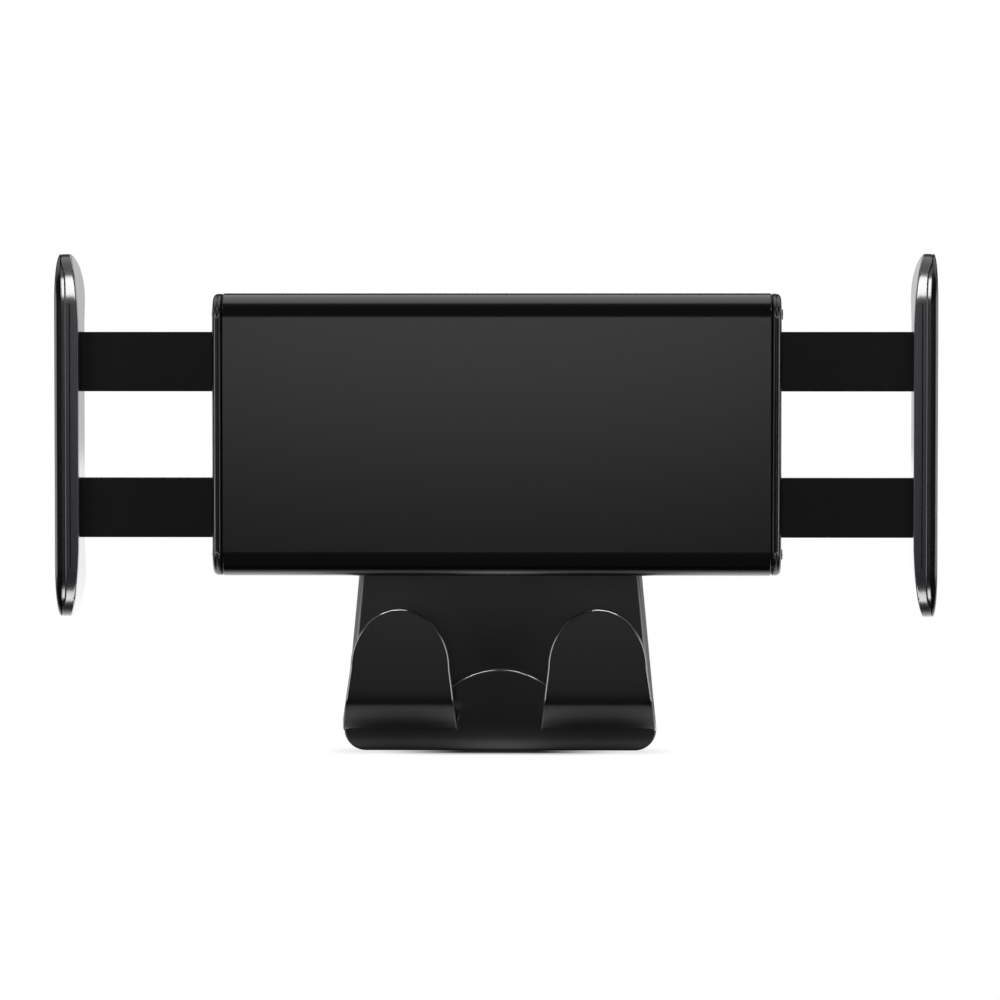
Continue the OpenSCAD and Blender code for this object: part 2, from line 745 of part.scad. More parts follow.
module drop_plate() {
  side_top = -bar_h - 3;
  color([0.1, 0.1, 0.1])
    difference() {
      union() {
        slab_y(plate_y, plate_t) plate_outline(plate_top_z, 0);
        // Turned-back sides and foot
        slab_y(plate_y + plate_t - eps, plate_side_d - plate_t + eps) difference() {
          plate_outline(side_top, 0);
          intersection() {
            plate_outline(side_top, plate_t);
            translate([-2 * plate_foot_w, side_top - plate_t - 2 * plate_foot_z])
              square([4 * plate_foot_w, 2 * plate_foot_z]);
          }
        }
        // Spacer pads that the bar's housing stands on
        bar_screw_places() along_y(plate_y + plate_t - eps, bar_stand + eps, bar_pad_r);
        along_y(plate_y + plate_t - eps, bar_stand + eps, stud_pad_r);
      }
      along_y(plate_y - 1, plate_t + bar_stand + 2, stud_r);
      bar_screw_places() along_y(plate_y - 1, plate_t + bar_stand + 2, screw_r + screw_gap);
      hook_screw_places() along_y(plate_y - 1, plate_t + 2, screw_r + screw_gap);
    }
}

// A hook's side profile in the YZ plane, drawn with x as depth and y as height
module hook_profile() {
  r = hook_bend_r;
  difference() {
    union() {
      translate([hook_tip_y, -hook_low_z + r]) square([hook_t, hook_low_z]);
      translate([hook_tip_y + r, -hook_low_z + r]) circle(r);
      translate([hook_tip_y + r, -hook_low_z]) square([panel_y - hook_tip_y - r + eps, hook_t + hook_fillet]);
    }
    translate([hook_tip_y + r, -hook_low_z + r]) circle(r - hook_t);
    translate([hook_tip_y + r, -hook_low_z + r]) square([plate_y, hook_low_z]);
    translate([hook_tip_y + hook_t, -hook_low_z + r]) square([plate_y, hook_low_z]);
    translate([hook_tip_y + r - eps, -hook_low_z + hook_t]) square([panel_y - hook_tip_y - r - hook_fillet + eps, hook_low_z]);
    translate([panel_y - hook_fillet, -hook_low_z + hook_t + hook_fillet]) circle(hook_fillet);
  }
}

// A hook's front outline in the XZ plane for the hook on the +X side
module hook_outline() {
  z0 = -hook_top_z - hook_top_b;
  n = 20;
  polygon(concat(
    [for (i = [0 : n]) let (a = i * 180 / n) [hook_mid_x + hook_top_a * cos(a), z0 + hook_top_b * sin(a)]],
    [[hook_in, -hook_low_z - 1], [plate_w(-hook_low_z - 1), -hook_low_z - 1]]
  ));
}

module double_hook() {
  color([0.09, 0.09, 0.09])
    difference() {
      union() {
        slab_y(panel_y, panel_t) {
          plate_outline(-panel_shoulder_z, 0);
          intersection() {
            translate([0, -arch_z - arch_r]) circle(arch_r);
            translate([-arch_r, -plate_foot_z + 1]) square([2 * arch_r, plate_foot_z]);
          }
        }
        for (m = [0, 1]) mirror([m, 0, 0]) intersection() {
          along_x(0, 2 * plate_foot_w) hook_profile();
          slab_y(0, plate_y) hook_outline();
        }
      }
      hook_screw_places() along_y(panel_y + hook_screw_blind, panel_t, screw_r);
    }
}

module hook_screws() {
  color([0.3, 0.3, 0.32])
    hook_screw_places() mirror([0, 1, 0]) screw_y(-plate_y - plate_t, plate_t + panel_t - hook_screw_blind - 0.3);
}

// Post bar

module bar_section(inset) {
  r = bar_corner_r;
  for (sx = [-1, 1], sz = [-1, 1]) translate([sx * (bar_l - r), sz * (bar_h - r)]) circle(r - inset);
  square([2 * (bar_l - inset), 2 * (bar_h - r)], center = true);
  square([2 * (bar_l - r), 2 * (bar_h - inset)], center = true);
}

module cover_screw_places() {
  for (sx = [-1, 1], sz = [-1, 1]) translate([sx * cover_screw_x, 0, sz * bar_screw_z]) children();
}

module bar_housing() {
  color([0.1, 0.1, 0.1])
    difference() {
      union() {
        difference() {
          slab_y(bar_y, bar_d) bar_section(0);
          slab_y(bar_in_y, bar_d) bar_section(bar_wall);
        }
        cover_screw_places() along_y(bar_y, bar_d, bar_post_r);
      }
      for (s = [-1, 1])
        translate([s * bar_l - 2 * bar_wall, claw_y_left - slide_gap, -claw_arm_h / 2 - slide_gap])
          cube([4 * bar_wall, 2 * claw_arm_t + claw_gap + 2 * slide_gap, claw_arm_h + 2 * slide_gap]);
      along_y(bar_y - 1, bar_wall + 2, stud_r);
      bar_screw_places() along_y(bar_y - 1, bar_wall + 2, screw_r);
      cover_screw_places() along_y(bar_back - cover_screw_l - 2, cover_screw_l + 3, screw_r);
    }
}

module bar_cover() {
  color([0.1, 0.1, 0.1])
    difference() {
      slab_y(bar_back, cover_t) bar_section(0);
      along_y(bar_back - 1, cover_t + 2, lock_r + lock_gap);
      cover_screw_places() along_y(bar_back - 1, cover_t + 2, screw_r + screw_gap);
    }
}

module bar_screws() {
  color([0.3, 0.3, 0.32]) bar_screw_places() screw_y(plate_y, plate_t + bar_stand + bar_wall);
}

module cover_screws() {
  color([0.3, 0.3, 0.32])
    cover_screw_places() mirror([0, 1, 0]) screw_y(-bar_back - cover_t, cover_t + cover_screw_l);
}

module claw(arm_front) {
  difference() {
    union() {
      // Flat arm with a stop lug on each edge
      translate([-claw_tail, arm_front, -claw_arm_h / 2])
        cube([claw_head_in + claw_tail + 1, claw_arm_t, claw_arm_h]);
      translate([claw_lug_x, arm_front, -claw_arm_h / 2 - claw_lug_h])
        cube([claw_lug_l, claw_arm_t, claw_arm_h + 2 * claw_lug_h]);
      // Head that reaches round the post
      translate([claw_head_in, claw_mid_y - claw_head_d / 2, -claw_h / 2])
        cube([claw_head_l, claw_head_d, claw_h]);
    }
    translate([post_x, claw_mid_y, -claw_h]) cylinder(r = post_r + lining_t, h = 2 * claw_h);
  }
}

module claw_lining() {
  difference() {
    translate([post_x, claw_mid_y, -claw_h / 2]) cylinder(r = post_r + lining_t, h = claw_h);
    translate([post_x, claw_mid_y, -claw_h]) cylinder(r = post_r, h = 2 * claw_h);
    translate([post_x, claw_mid_y - claw_head_d, -claw_h]) cube([claw_head_d, 2 * claw_head_d, 2 * claw_h]);
  }
}

module right_claw() { color([0.12, 0.12, 0.12]) claw(claw_y_right); }
module left_claw() { color([0.12, 0.12, 0.12]) mirror([1, 0, 0]) claw(claw_y_left); }
module right_claw_lining() { color([0.06, 0.06, 0.06]) claw_lining(); }
module left_claw_lining() { color([0.06, 0.06, 0.06]) mirror([1, 0, 0]) claw_lining(); }

// Plate that the lock screw presses on the two claw arms
module brake_pad() {
  color([0.06, 0.06, 0.06])
    translate([-brake_w / 2, brake_y, -brake_w / 2]) cube([brake_w, brake_t, brake_w]);
}

module lock_screw() {
  y0 = brake_y + brake_t;
  color([0.6, 0.6, 0.62]) along_y(y0, knob_y + knob_bore_l - y0, lock_r);
}

module lock_nut() {
  color([0.6, 0.6, 0.62])
    difference() {
      slab_y(bar_back - lock_nut_t, lock_nut_t) circle(lock_r + lock_nut_w, $fn = 6);
      along_y(bar_back - lock_nut_t - 1, lock_nut_t + 2, lock_r + pin_gap);
    }
}

module lock_knob() {
  color([0.1, 0.1, 0.1])
    difference() {
      union() {
        along_y(knob_y, knob_t, knob_r - knob_core_in);
        for (i = [0 : knob_lobes - 1])
          rotate([0, i * 360 / knob_lobes, 0]) translate([knob_r - knob_lobe_r, 0, 0])
            along_y(knob_y + 1, knob_t - 1, knob_lobe_r);
      }
      along_y(knob_y - 1, knob_bore_l + 1, lock_r);
    }
}

body_sleeve();
left_end_cap();
right_end_cap();
end_cap_screws();
guide_frame();
pinion_gear();
pinion_axle();
friction_washer();
left_slider();
right_slider();
left_jaw_core();
right_jaw_core();
left_jaw_cover();
right_jaw_cover();
left_jaw_pad();
right_jaw_pad();
left_jaw_screws();
right_jaw_screws();
ball_socket();
socket_screws();
front_ball_seat();
rear_ball_seat();
collar_nut();
ball_stud();
stud_nut();
drop_plate();
double_hook();
hook_screws();
bar_housing();
bar_cover();
bar_screws();
cover_screws();
left_claw();
right_claw();
left_claw_lining();
right_claw_lining();
brake_pad();
lock_screw();
lock_nut();
lock_knob();
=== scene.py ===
"""Looks of a headrest tablet mount: cradle, sliding jaws, ball joint, double hook and post bar."""

import json
import math

import bmesh
import bpy
import numpy as np
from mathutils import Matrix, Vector


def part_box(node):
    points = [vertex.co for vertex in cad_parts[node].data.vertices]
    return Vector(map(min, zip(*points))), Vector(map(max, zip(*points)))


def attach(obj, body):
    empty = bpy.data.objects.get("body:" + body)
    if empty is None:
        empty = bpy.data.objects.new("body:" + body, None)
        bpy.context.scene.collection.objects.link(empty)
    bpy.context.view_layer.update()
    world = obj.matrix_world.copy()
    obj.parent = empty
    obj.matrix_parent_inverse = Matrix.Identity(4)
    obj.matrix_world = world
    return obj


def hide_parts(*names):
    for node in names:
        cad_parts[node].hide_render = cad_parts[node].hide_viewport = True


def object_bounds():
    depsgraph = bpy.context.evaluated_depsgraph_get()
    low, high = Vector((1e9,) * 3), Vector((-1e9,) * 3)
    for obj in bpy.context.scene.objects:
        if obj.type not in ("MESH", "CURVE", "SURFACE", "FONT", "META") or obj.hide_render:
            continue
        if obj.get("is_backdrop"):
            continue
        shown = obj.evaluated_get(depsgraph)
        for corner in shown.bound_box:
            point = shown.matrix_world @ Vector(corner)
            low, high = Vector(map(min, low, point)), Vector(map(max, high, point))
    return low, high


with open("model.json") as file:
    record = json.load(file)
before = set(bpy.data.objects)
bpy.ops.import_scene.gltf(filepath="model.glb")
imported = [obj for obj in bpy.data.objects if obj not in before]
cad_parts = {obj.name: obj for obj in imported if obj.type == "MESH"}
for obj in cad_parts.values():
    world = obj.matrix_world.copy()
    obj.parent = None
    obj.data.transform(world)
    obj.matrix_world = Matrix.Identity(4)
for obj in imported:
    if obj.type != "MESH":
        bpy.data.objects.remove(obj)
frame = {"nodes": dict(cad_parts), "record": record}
cad_lo, cad_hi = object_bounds()
MM = 0.001

# Camera. The photograph looks straight at the cradle's front from about a metre, a little right of and above
# its middle, so the hooks, which lie deeper, stand a few pixels to the right.
photo_width = 1000
sensor_width = 36.0
camera_at = (20 * MM, -1.0, 25 * MM)
cradle_mid_depth = 7.5 * MM
cradle_px_per_mm = 4.529
cradle_centre_px = (497.1, 434.5)
camera_distance = cradle_mid_depth - camera_at[1]
focal_px = cradle_px_per_mm / MM * camera_distance

camera = bpy.data.objects.new("camera", bpy.data.cameras.new("camera"))
bpy.context.scene.collection.objects.link(camera)
bpy.context.scene.camera = camera
camera.data.sensor_width = sensor_width
camera.data.lens = focal_px * sensor_width / photo_width
camera.location = camera_at
yaw = math.atan2(camera_at[0], camera_distance)
yaw -= math.atan2(photo_width / 2 - cradle_centre_px[0], focal_px)
pitch = math.atan2(camera_at[2], camera_distance)
pitch += math.atan2(photo_width / 2 - cradle_centre_px[1], focal_px)
camera.rotation_euler = (math.pi / 2 - pitch, 0, yaw)
camera.data.clip_start = 0.05
camera.data.clip_end = 20


# Studio. White paper behind the mount and under it, a softbox overhead, white cards at both sides and a low
# panel of light round the camera. Between panel and softbox it is dark, which draws black lines along the
# rounded edges.
def srgb(code):
    """A colour written as sRGB hex, as linear values with alpha."""
    parts = [int(code[i : i + 2], 16) / 255 for i in (1, 3, 5)]
    return [c / 12.92 if c <= 0.04045 else ((c + 0.055) / 1.055) ** 2.4 for c in parts] + [1.0]


def add_node(tree, kind, inputs=None, **settings):
    """Adds a node, sets its properties, and gives each named input a value or a link from another node."""
    node = tree.nodes.new(kind)
    for name, value in settings.items():
        setattr(node, name, value)
    for name, value in (inputs or {}).items():
        if isinstance(value, bpy.types.NodeSocket):
            tree.links.new(value, node.inputs[name])
        else:
            node.inputs[name].default_value = value
    return node


def empty_tree(owner):
    """The cleared node tree of a material or a world."""
    owner.use_nodes = True
    owner.node_tree.nodes.clear()
    return owner.node_tree


def maths(tree, operation, first, second=0.0):
    return add_node(tree, "ShaderNodeMath", {0: first, 1: second}, operation=operation).outputs[0]


def between(tree, value, low, high, start=0.0, end=1.0, curve="LINEAR"):
    """Runs from low to high while the value goes from start to end."""
    return add_node(tree, "ShaderNodeMapRange", {
        "Value": value, "From Min": start, "From Max": end, "To Min": low, "To Max": high},
        interpolation_type=curve).outputs[0]


def mixed(tree, share, first, second):
    """A colour between two, by a share from 0 to 1."""
    return add_node(tree, "ShaderNodeMixRGB", {"Fac": share, "Color1": first, "Color2": second}).outputs[0]


# Painted shade on the floor paper. An ambient-occlusion mask darkens the paper's glow under the mount into a
# painted contact shadow. For the camera it is full within foot_half_near of the middle and thins to
# far_shadow of its depth by foot_half_far. Reflections see it full across, with reflected_reach times the
# reach and a stronger contrast. Reflections also see the glow painted dark towards the front, between the two
# paper fade depths.
foot_half_near, foot_half_far, far_shadow = 8 * MM, 30 * MM, 0.2
shadow_contrast, reflected_contrast, reflected_reach = 1.6, 3.5, 3
paper_fade_start, paper_fade_end, reflected_white = 8 * MM, 27 * MM, 1.8


def seamless_paper(name, painted_shadow_reach=0.0):
    """White seamless paper: camera and reflections see plain white, everything else sees a matt pale grey.
    With a painted shadow reach in mm, it paints a contact shadow into its glow under the mount, and
    reflections see that glow painted dark towards the front."""
    material = bpy.data.materials.new(name)
    tree = empty_tree(material)
    ray = add_node(tree, "ShaderNodeLightPath").outputs
    by_camera = ray["Is Camera Ray"]
    seen = maths(tree, "MAXIMUM", by_camera, ray["Is Glossy Ray"])
    paper = add_node(tree, "ShaderNodeBsdfDiffuse", {"Color": srgb("#b8b8b8")})
    white = add_node(tree, "ShaderNodeEmission", {"Color": srgb("#ffffff"), "Strength": 1.0})
    if painted_shadow_reach:
        place = add_node(tree, "ShaderNodeTexCoord").outputs["Object"]
        along = add_node(tree, "ShaderNodeSeparateXYZ", {0: place}).outputs
        # Painted contact shadow: where ambient occlusion finds the mount close, the paper's glow is mixed
        # towards dark grey.
        painted_far_shadow = between(tree, by_camera, 1.0, far_shadow)
        foot = between(tree, maths(tree, "ABSOLUTE", along["X"]), 1.0, painted_far_shadow,
                       foot_half_near, foot_half_far, "SMOOTHSTEP")
        reach = between(tree, by_camera, reflected_reach * painted_shadow_reach * MM, painted_shadow_reach * MM)
        near = add_node(tree, "ShaderNodeAmbientOcclusion", {"Distance": reach}, samples=12)
        contrast = between(tree, by_camera, reflected_contrast, shadow_contrast)
        painted_shadow_mask = maths(tree, "SUBTRACT", 1.0, maths(tree, "POWER", near.outputs["AO"], contrast))
        depth = maths(tree, "MULTIPLY", painted_shadow_mask, foot)
        tree.links.new(mixed(tree, depth, srgb("#ffffff"), srgb("#202020")), white.inputs["Color"])
        # Painted shade in reflections: the paper's glow they see is nil in front of paper_fade_start and
        # rises to reflected_white by paper_fade_end.
        painted_front_fade = between(tree, along["Y"], 0.0, reflected_white, paper_fade_start, paper_fade_end)
        strength = add_node(
            tree, "ShaderNodeMix", {"Factor": by_camera, "A": painted_front_fade, "B": 1.0}, data_type="FLOAT")
        tree.links.new(strength.outputs[0], white.inputs["Strength"])
    mix = add_node(tree, "ShaderNodeMixShader", {0: seen, 1: paper.outputs[0], 2: white.outputs[0]})
    add_node(tree, "ShaderNodeOutputMaterial", {"Surface": mix.outputs[0]})
    return material


def link_mesh(name, verts, faces, material=None):
    """A new object from points in metres and faces."""
    mesh = bpy.data.meshes.new(name)
    mesh.from_pydata([tuple(v) for v in verts], [], [tuple(f) for f in faces])
    mesh.update()
    if material is not None:
        mesh.materials.append(material)
    made = bpy.data.objects.new(name, mesh)
    bpy.context.scene.collection.objects.link(made)
    return made


floor_level = cad_lo[2] - 0.6 * MM
paper_half_width = 5
floor_front, floor_back = -12 * MM, 3.2
backdrop_y, backdrop_foot, backdrop_top = 1.3, floor_level + 30 * MM, 0.34
backdrop = link_mesh(
    "backdrop",
    [(-paper_half_width, backdrop_y, backdrop_foot), (paper_half_width, backdrop_y, backdrop_foot),
     (paper_half_width, backdrop_y, backdrop_top), (-paper_half_width, backdrop_y, backdrop_top)],
    [(0, 1, 2, 3)], seamless_paper("white_seamless_backdrop"))
# The floor paper carries a painted contact shadow under the mount.
floor = link_mesh(
    "floor",
    [(-paper_half_width, floor_front, floor_level), (paper_half_width, floor_front, floor_level),
     (paper_half_width, floor_back, floor_level), (-paper_half_width, floor_back, floor_level)],
    [(0, 1, 2, 3)], seamless_paper("white_seamless_floor", painted_shadow_reach=6.0))
backdrop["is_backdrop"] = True
floor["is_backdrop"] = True


def softbox(name, at, aim, size, watts):
    """A rectangular light that the camera doesn't see, turned to a point."""
    light = bpy.data.lights.new(name, "AREA")
    light.shape = "RECTANGLE"
    light.size, light.size_y = size
    light.energy = watts
    made = bpy.data.objects.new(name, light)
    bpy.context.scene.collection.objects.link(made)
    made.location = at
    direction = [a - b for a, b in zip(aim, at)]
    made.rotation_euler = Vector(direction).to_track_quat("-Z", "Y").to_euler()
    made.visible_camera = False
    return made


softbox("overhead_softbox", (0, 0.22, 0.55), (0, 0.22, 0), (1.6, 0.72), 5.2)
softbox("camera_panel", (-0.03, -1.25, 0.065), (0, 0, 0.065), (0.42, 0.19), 0.30)
softbox("left_card", (-0.8, 0, 0), (0, 0, 0), (0.6, 0.7), 4.0)
softbox("right_card", (0.8, 0, 0), (0, 0, 0), (0.6, 0.7), 4.6)
accents = {}
for name, at, aim, size, watts in (
        ("jaws", (0, -0.30, 0.30), (0, 0, 0.035), (0.5, 0.36), 20.0),
        ("jaws", (0, -0.12, -0.38), (0, 0, -0.038), (0.5, 0.20), 7.0),
        ("hooks", (0, 0.03, 0.62), (0, 0.04, 0), (0.8, 0.10), 22.0),
        ("hooks", (0, -1.25, -0.045), (0, 0, -0.045), (0.4, 0.10), 0.11),
        ("plate_sides", (-0.5, -0.45, -0.05), (0, 0.04, -0.05), (0.5, 0.4), 4.5),
        ("plate_sides", (0.5, -0.45, -0.05), (0, 0.04, -0.05), (0.5, 0.4), 4.5),
        ("left_edges", (-0.62, -0.28, 0), (0, 0.04, 0), (0.4, 0.4), 2.2),
        ("right_edges", (0.62, -0.28, 0), (0, 0.04, 0), (0.4, 0.4), 2.2)):
    accents.setdefault(name, []).append(softbox("accent_on_" + name, at, aim, size, watts))

world = bpy.data.worlds.new("studio_air")
bpy.context.scene.world = world
air = empty_tree(world)
air_path = add_node(air, "ShaderNodeLightPath")
air_strength = between(air, air_path.outputs["Is Camera Ray"], 0.04, 1.0)
air_light = add_node(air, "ShaderNodeBackground", {"Color": srgb("#ffffff"), "Strength": air_strength})
add_node(air, "ShaderNodeOutputWorld", {"Surface": air_light.outputs[0]})
bpy.context.scene.view_settings.view_transform = "Standard"


# Cradle sleeve. A flat tube of extruded aluminium, bead blasted and anodised black, cut to length. The cut
# ends are lightly chamfered, so a thin bright line stands beside each end cap.
def noise(tree, size_mm, detail):
    """Noise of a given size that stays fixed to the piece."""
    place = add_node(tree, "ShaderNodeTexCoord").outputs["Object"]
    return add_node(tree, "ShaderNodeTexNoise", {
        "Vector": place, "Scale": 1 / (size_mm * MM), "Detail": detail}).outputs["Fac"]


def bumped(tree, height, strength, depth_mm):
    return add_node(tree, "ShaderNodeBump", {
        "Height": height, "Strength": strength, "Distance": depth_mm * MM}).outputs[0]


def surface(tree, inputs):
    """Ends a tree in one surface shader."""
    shader = add_node(tree, "ShaderNodeBsdfPrincipled", inputs)
    add_node(tree, "ShaderNodeOutputMaterial", {"Surface": shader.outputs[0]})


def blasted_anodised(name):
    """Anodised aluminium over a fine bead-blasted surface: the dyed oxide is a dark, soft satin."""
    material = bpy.data.materials.new(name)
    tree = empty_tree(material)
    grain_mm, cloud_mm = 0.22, 30.0  # real grain is about 0.1 mm, drawn coarser so that it shows
    grain = noise(tree, grain_mm, 2.0)
    surface(tree, {
        "Base Color": mixed(tree, noise(tree, cloud_mm, 3.0), srgb("#0a0a0a"), srgb("#0d0d0d")),
        "Roughness": between(tree, grain, 0.17, 0.23), "Normal": bumped(tree, grain, 0.08, 0.02), "IOR": 1.6})
    return material


def box_mm(node):
    """The lower and upper corner of a node of the frame, in mm."""
    lo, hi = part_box(node)
    return [c / MM for c in lo], [c / MM for c in hi]


def outwards(piece):
    """Merges doubles and turns every face outwards."""
    mesh = bmesh.new()
    mesh.from_mesh(piece.data)
    bmesh.ops.remove_doubles(mesh, verts=mesh.verts, dist=0.002 * MM)
    bmesh.ops.recalc_face_normals(mesh, faces=mesh.faces)
    mesh.to_mesh(piece.data)
    mesh.free()


def loft(name, rings, material, closed=False, caps=True):
    """Skins rings of equally many points given in mm. closed joins the last ring to the first."""
    n = len(rings[0])
    verts = [tuple(c * MM for c in p) for ring in rings for p in ring]
    faces = []
    for k in range(len(rings) if closed else len(rings) - 1):
        a, b = k * n, (k + 1) % len(rings) * n
        faces += [(a + i, a + (i + 1) % n, b + (i + 1) % n, b + i) for i in range(n)]
    if caps and not closed:
        faces += [tuple(range(n - 1, -1, -1)), tuple((len(rings) - 1) * n + i for i in range(n))]
    made = link_mesh(name, verts, faces, material)
    outwards(made)
    return made


def settle(piece):
    """Turns the piece and its modifiers into one plain mesh."""
    graph = bpy.context.evaluated_depsgraph_get()
    data = bpy.data.meshes.new_from_object(piece.evaluated_get(graph))
    piece.modifiers.clear()
    piece.data = data


def smooth(piece, degrees=32):
    """Smooth shading that breaks at edges sharper than the given angle and leaves large flats flat."""
    mesh = piece.data
    mesh.polygons.foreach_set("use_smooth", [True] * len(mesh.polygons))
    mesh.set_sharp_from_angle(angle=math.radians(degrees))
    piece.modifiers.new("flats_stay_flat", "WEIGHTED_NORMAL").keep_sharp = True
    settle(piece)
    return piece


def arc_angles(first, last, steps):
    """Evenly spaced angles in radians from one to the other, both included."""
    return [first + (last - first) * i / steps for i in range(steps + 1)]


sleeve_lo, sleeve_hi = box_mm("body_sleeve")
sleeve_depth = sleeve_hi[1] - sleeve_lo[1]
sleeve_half = (sleeve_hi[2] - sleeve_lo[2]) / 2
sleeve_wall = 1.8
sleeve_front_r, sleeve_back_r, sleeve_least_r = 5.5, 3.0, 0.3
sleeve_chamfer, sleeve_proud, sleeve_slit = 0.24, 0.1, 0.16


def sleeve_ring(x, inset):
    """The sleeve's section at x, going round once, with true arcs at its four edges."""
    front_r, back_r = sleeve_front_r - inset, max(sleeve_back_r - inset, sleeve_least_r)
    front_y, back_y = sleeve_front_r, sleeve_depth - sleeve_back_r
    front_z, back_z = sleeve_half - sleeve_front_r, sleeve_half - sleeve_back_r
    corners = ((front_y, front_z, front_r, 90), (front_y, -front_z, front_r, 180),
               (back_y, -back_z, back_r, 270), (back_y, back_z, back_r, 0))
    return [(x, y + r * math.cos(a), z + r * math.sin(a)) for y, z, r, start in corners
            for a in arc_angles(math.radians(start), math.radians(start + 90), 12)]


sleeve_x0, sleeve_x1 = sleeve_lo[0] + sleeve_slit, sleeve_hi[0] - sleeve_slit
sleeve_finish = blasted_anodised("black_anodised_aluminium")
sleeve = loft(
    "cradle_sleeve",
    [sleeve_ring(sleeve_x0, sleeve_chamfer - sleeve_proud),
     sleeve_ring(sleeve_x0 + sleeve_chamfer, -sleeve_proud),
     sleeve_ring(sleeve_x1 - sleeve_chamfer, -sleeve_proud),
     sleeve_ring(sleeve_x1, sleeve_chamfer - sleeve_proud),
     sleeve_ring(sleeve_x1, sleeve_wall), sleeve_ring(sleeve_x0, sleeve_wall)],
    sleeve_finish, closed=True)
smooth(sleeve)
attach(sleeve, "cradle")
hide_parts("body_sleeve")


# Moulded and machined pieces that keep the shape of their solid. Each but the end caps gets the small edge
# radius that a mould or a deburring wheel leaves, because it is what catches the light on a black part. The
# end caps keep their solids' rounded rims and only get smooth shading.
def moulded_plastic(name, colour, roughness, grain_mm, grain_depth_mm, bump=0.15, coat=0.0, ior=1.53):
    """A moulded thermoplastic: grain eroded into the mould breaks its sheen, and the colour drifts."""
    material = bpy.data.materials.new(name)
    tree = empty_tree(material)
    drift_mm, darkest = 25, 0.88
    grain = noise(tree, grain_mm, 3.0)
    dark = [c * darkest for c in srgb(colour)[:3]] + [1.0]
    surface(tree, {
        "Base Color": mixed(tree, noise(tree, drift_mm, 2.0), dark, srgb(colour)),
        "Roughness": between(tree, grain, roughness * 0.9, min(1.0, roughness * 1.12)),
        "Normal": bumped(tree, grain, bump, grain_depth_mm),
        "IOR": ior, "Coat Weight": coat, "Coat Roughness": 0.06})
    return material


def worked_steel(name, colour, roughness, grain_mm):
    """Steel with a plated or oxidised surface: metallic, with fine turning marks that vary its gloss."""
    material = bpy.data.materials.new(name)
    tree = empty_tree(material)
    grain = noise(tree, grain_mm, 4.0)
    pale = [min(1, c * 1.15) for c in srgb(colour)[:3]] + [1.0]
    surface(tree, {
        "Base Color": mixed(tree, grain, srgb(colour), pale),
        "Roughness": between(tree, grain, roughness * 0.75, roughness * 1.3), "Metallic": 1.0})
    return material


finishes = {
    "black_anodised": sleeve_finish,
    "cap_plastic": moulded_plastic("satin_abs_cap", "#161616", 0.24, 0.4, 0.01, bump=0.08),
    "arm_metal": moulded_plastic("matt_powder_coat", "#2f2f2f", 0.42, 0.3, 0.05, bump=0.25),
    "jaw_plastic": moulded_plastic("gloss_abs", "#0a0a0c", 0.22, 1.5, 0.01, bump=0.02, ior=1.40),
    "jaw_cover_plastic": moulded_plastic("satin_gloss_abs", "#121213", 0.26, 0.6, 0.012, bump=0.05, ior=1.45),
    "plate_plastic": moulded_plastic("satin_abs_plate", "#1b1b1b", 0.24, 0.35, 0.02, bump=0.03, ior=1.42),
    "soft_pad": moulded_plastic("black_elastomer", "#0e0e0f", 0.17, 0.6, 0.01, bump=0.05),
    "joint_plastic": moulded_plastic("matt_nylon", "#1a1a1a", 0.42, 0.4, 0.03),
    "seat_plastic": moulded_plastic("natural_acetal", "#d8d4c8", 0.35, 0.5, 0.01),
    "hook_plastic": moulded_plastic("satin_abs_blend", "#0e0e0e", 0.17, 0.4, 0.008, bump=0.05, coat=0.3),
    "plain_steel": worked_steel("zinc_plated_steel", "#b9bbbe", 0.32, 0.6),
    "screw_steel": worked_steel("black_oxide_steel", "#3a3a3d", 0.38, 0.4),
}
slot_of = {row["node"]: row["material_slot"] for row in frame["record"]["subparts"]}
body_of = {node: body for body, nodes in frame["record"]["behaviour"]["bodies"].items() for node in nodes}

for node, solid in frame["nodes"].items():
    solid.data.materials.clear()
    solid.data.materials.append(finishes[slot_of[node]])


def round_edges(piece, radius_mm, segments=3, degrees=38):
    """Rounds every edge that is sharper than the given angle."""
    bevel = piece.modifiers.new("edge_radius", "BEVEL")
    bevel.width = radius_mm * MM
    bevel.segments = segments
    bevel.limit_method = "ANGLE"
    bevel.angle_limit = math.radians(degrees)
    bevel.use_clamp_overlap = True
    settle(piece)


def dress(piece, node):
    """Lets a finished piece ride with its node's body, in its place."""
    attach(piece, body_of[node])
    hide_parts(node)


def edged_copy(node, radius_mm):
    """A copy of a solid with its triangles merged, its flats cleared and its edges rounded, in its place.
    Radius 0 keeps every triangle and only smooths the shading."""
    mesh = bmesh.new()
    mesh.from_mesh(frame["nodes"][node].data)
    bmesh.ops.remove_doubles(mesh, verts=mesh.verts, dist=0.001 * MM)
    if radius_mm:
        bmesh.ops.dissolve_limit(mesh, angle_limit=math.radians(0.5), verts=mesh.verts, edges=mesh.edges)
    data = bpy.data.meshes.new(node + "_edged")
    mesh.to_mesh(data)
    mesh.free()
    data.materials.append(finishes[slot_of[node]])
    made = bpy.data.objects.new(node + "_edged", data)
    bpy.context.scene.collection.objects.link(made)
    if radius_mm:
        round_edges(made, radius_mm)
    smooth(made)
    dress(made, node)


edge_radii = {
    "left_end_cap": 0, "right_end_cap": 0, "left_slider": 0.25, "right_slider": 0.25, "ball_socket": 0.3,
    "collar_nut": 0.3, "ball_stud": 0.2, "stud_nut": 0.2, "bar_housing": 0.6, "bar_cover": 0.5,
    "left_claw": 0.6, "right_claw": 0.6, "left_claw_lining": 0.15, "right_claw_lining": 0.15,
}
for node, radius in edge_radii.items():
    edged_copy(node, radius)

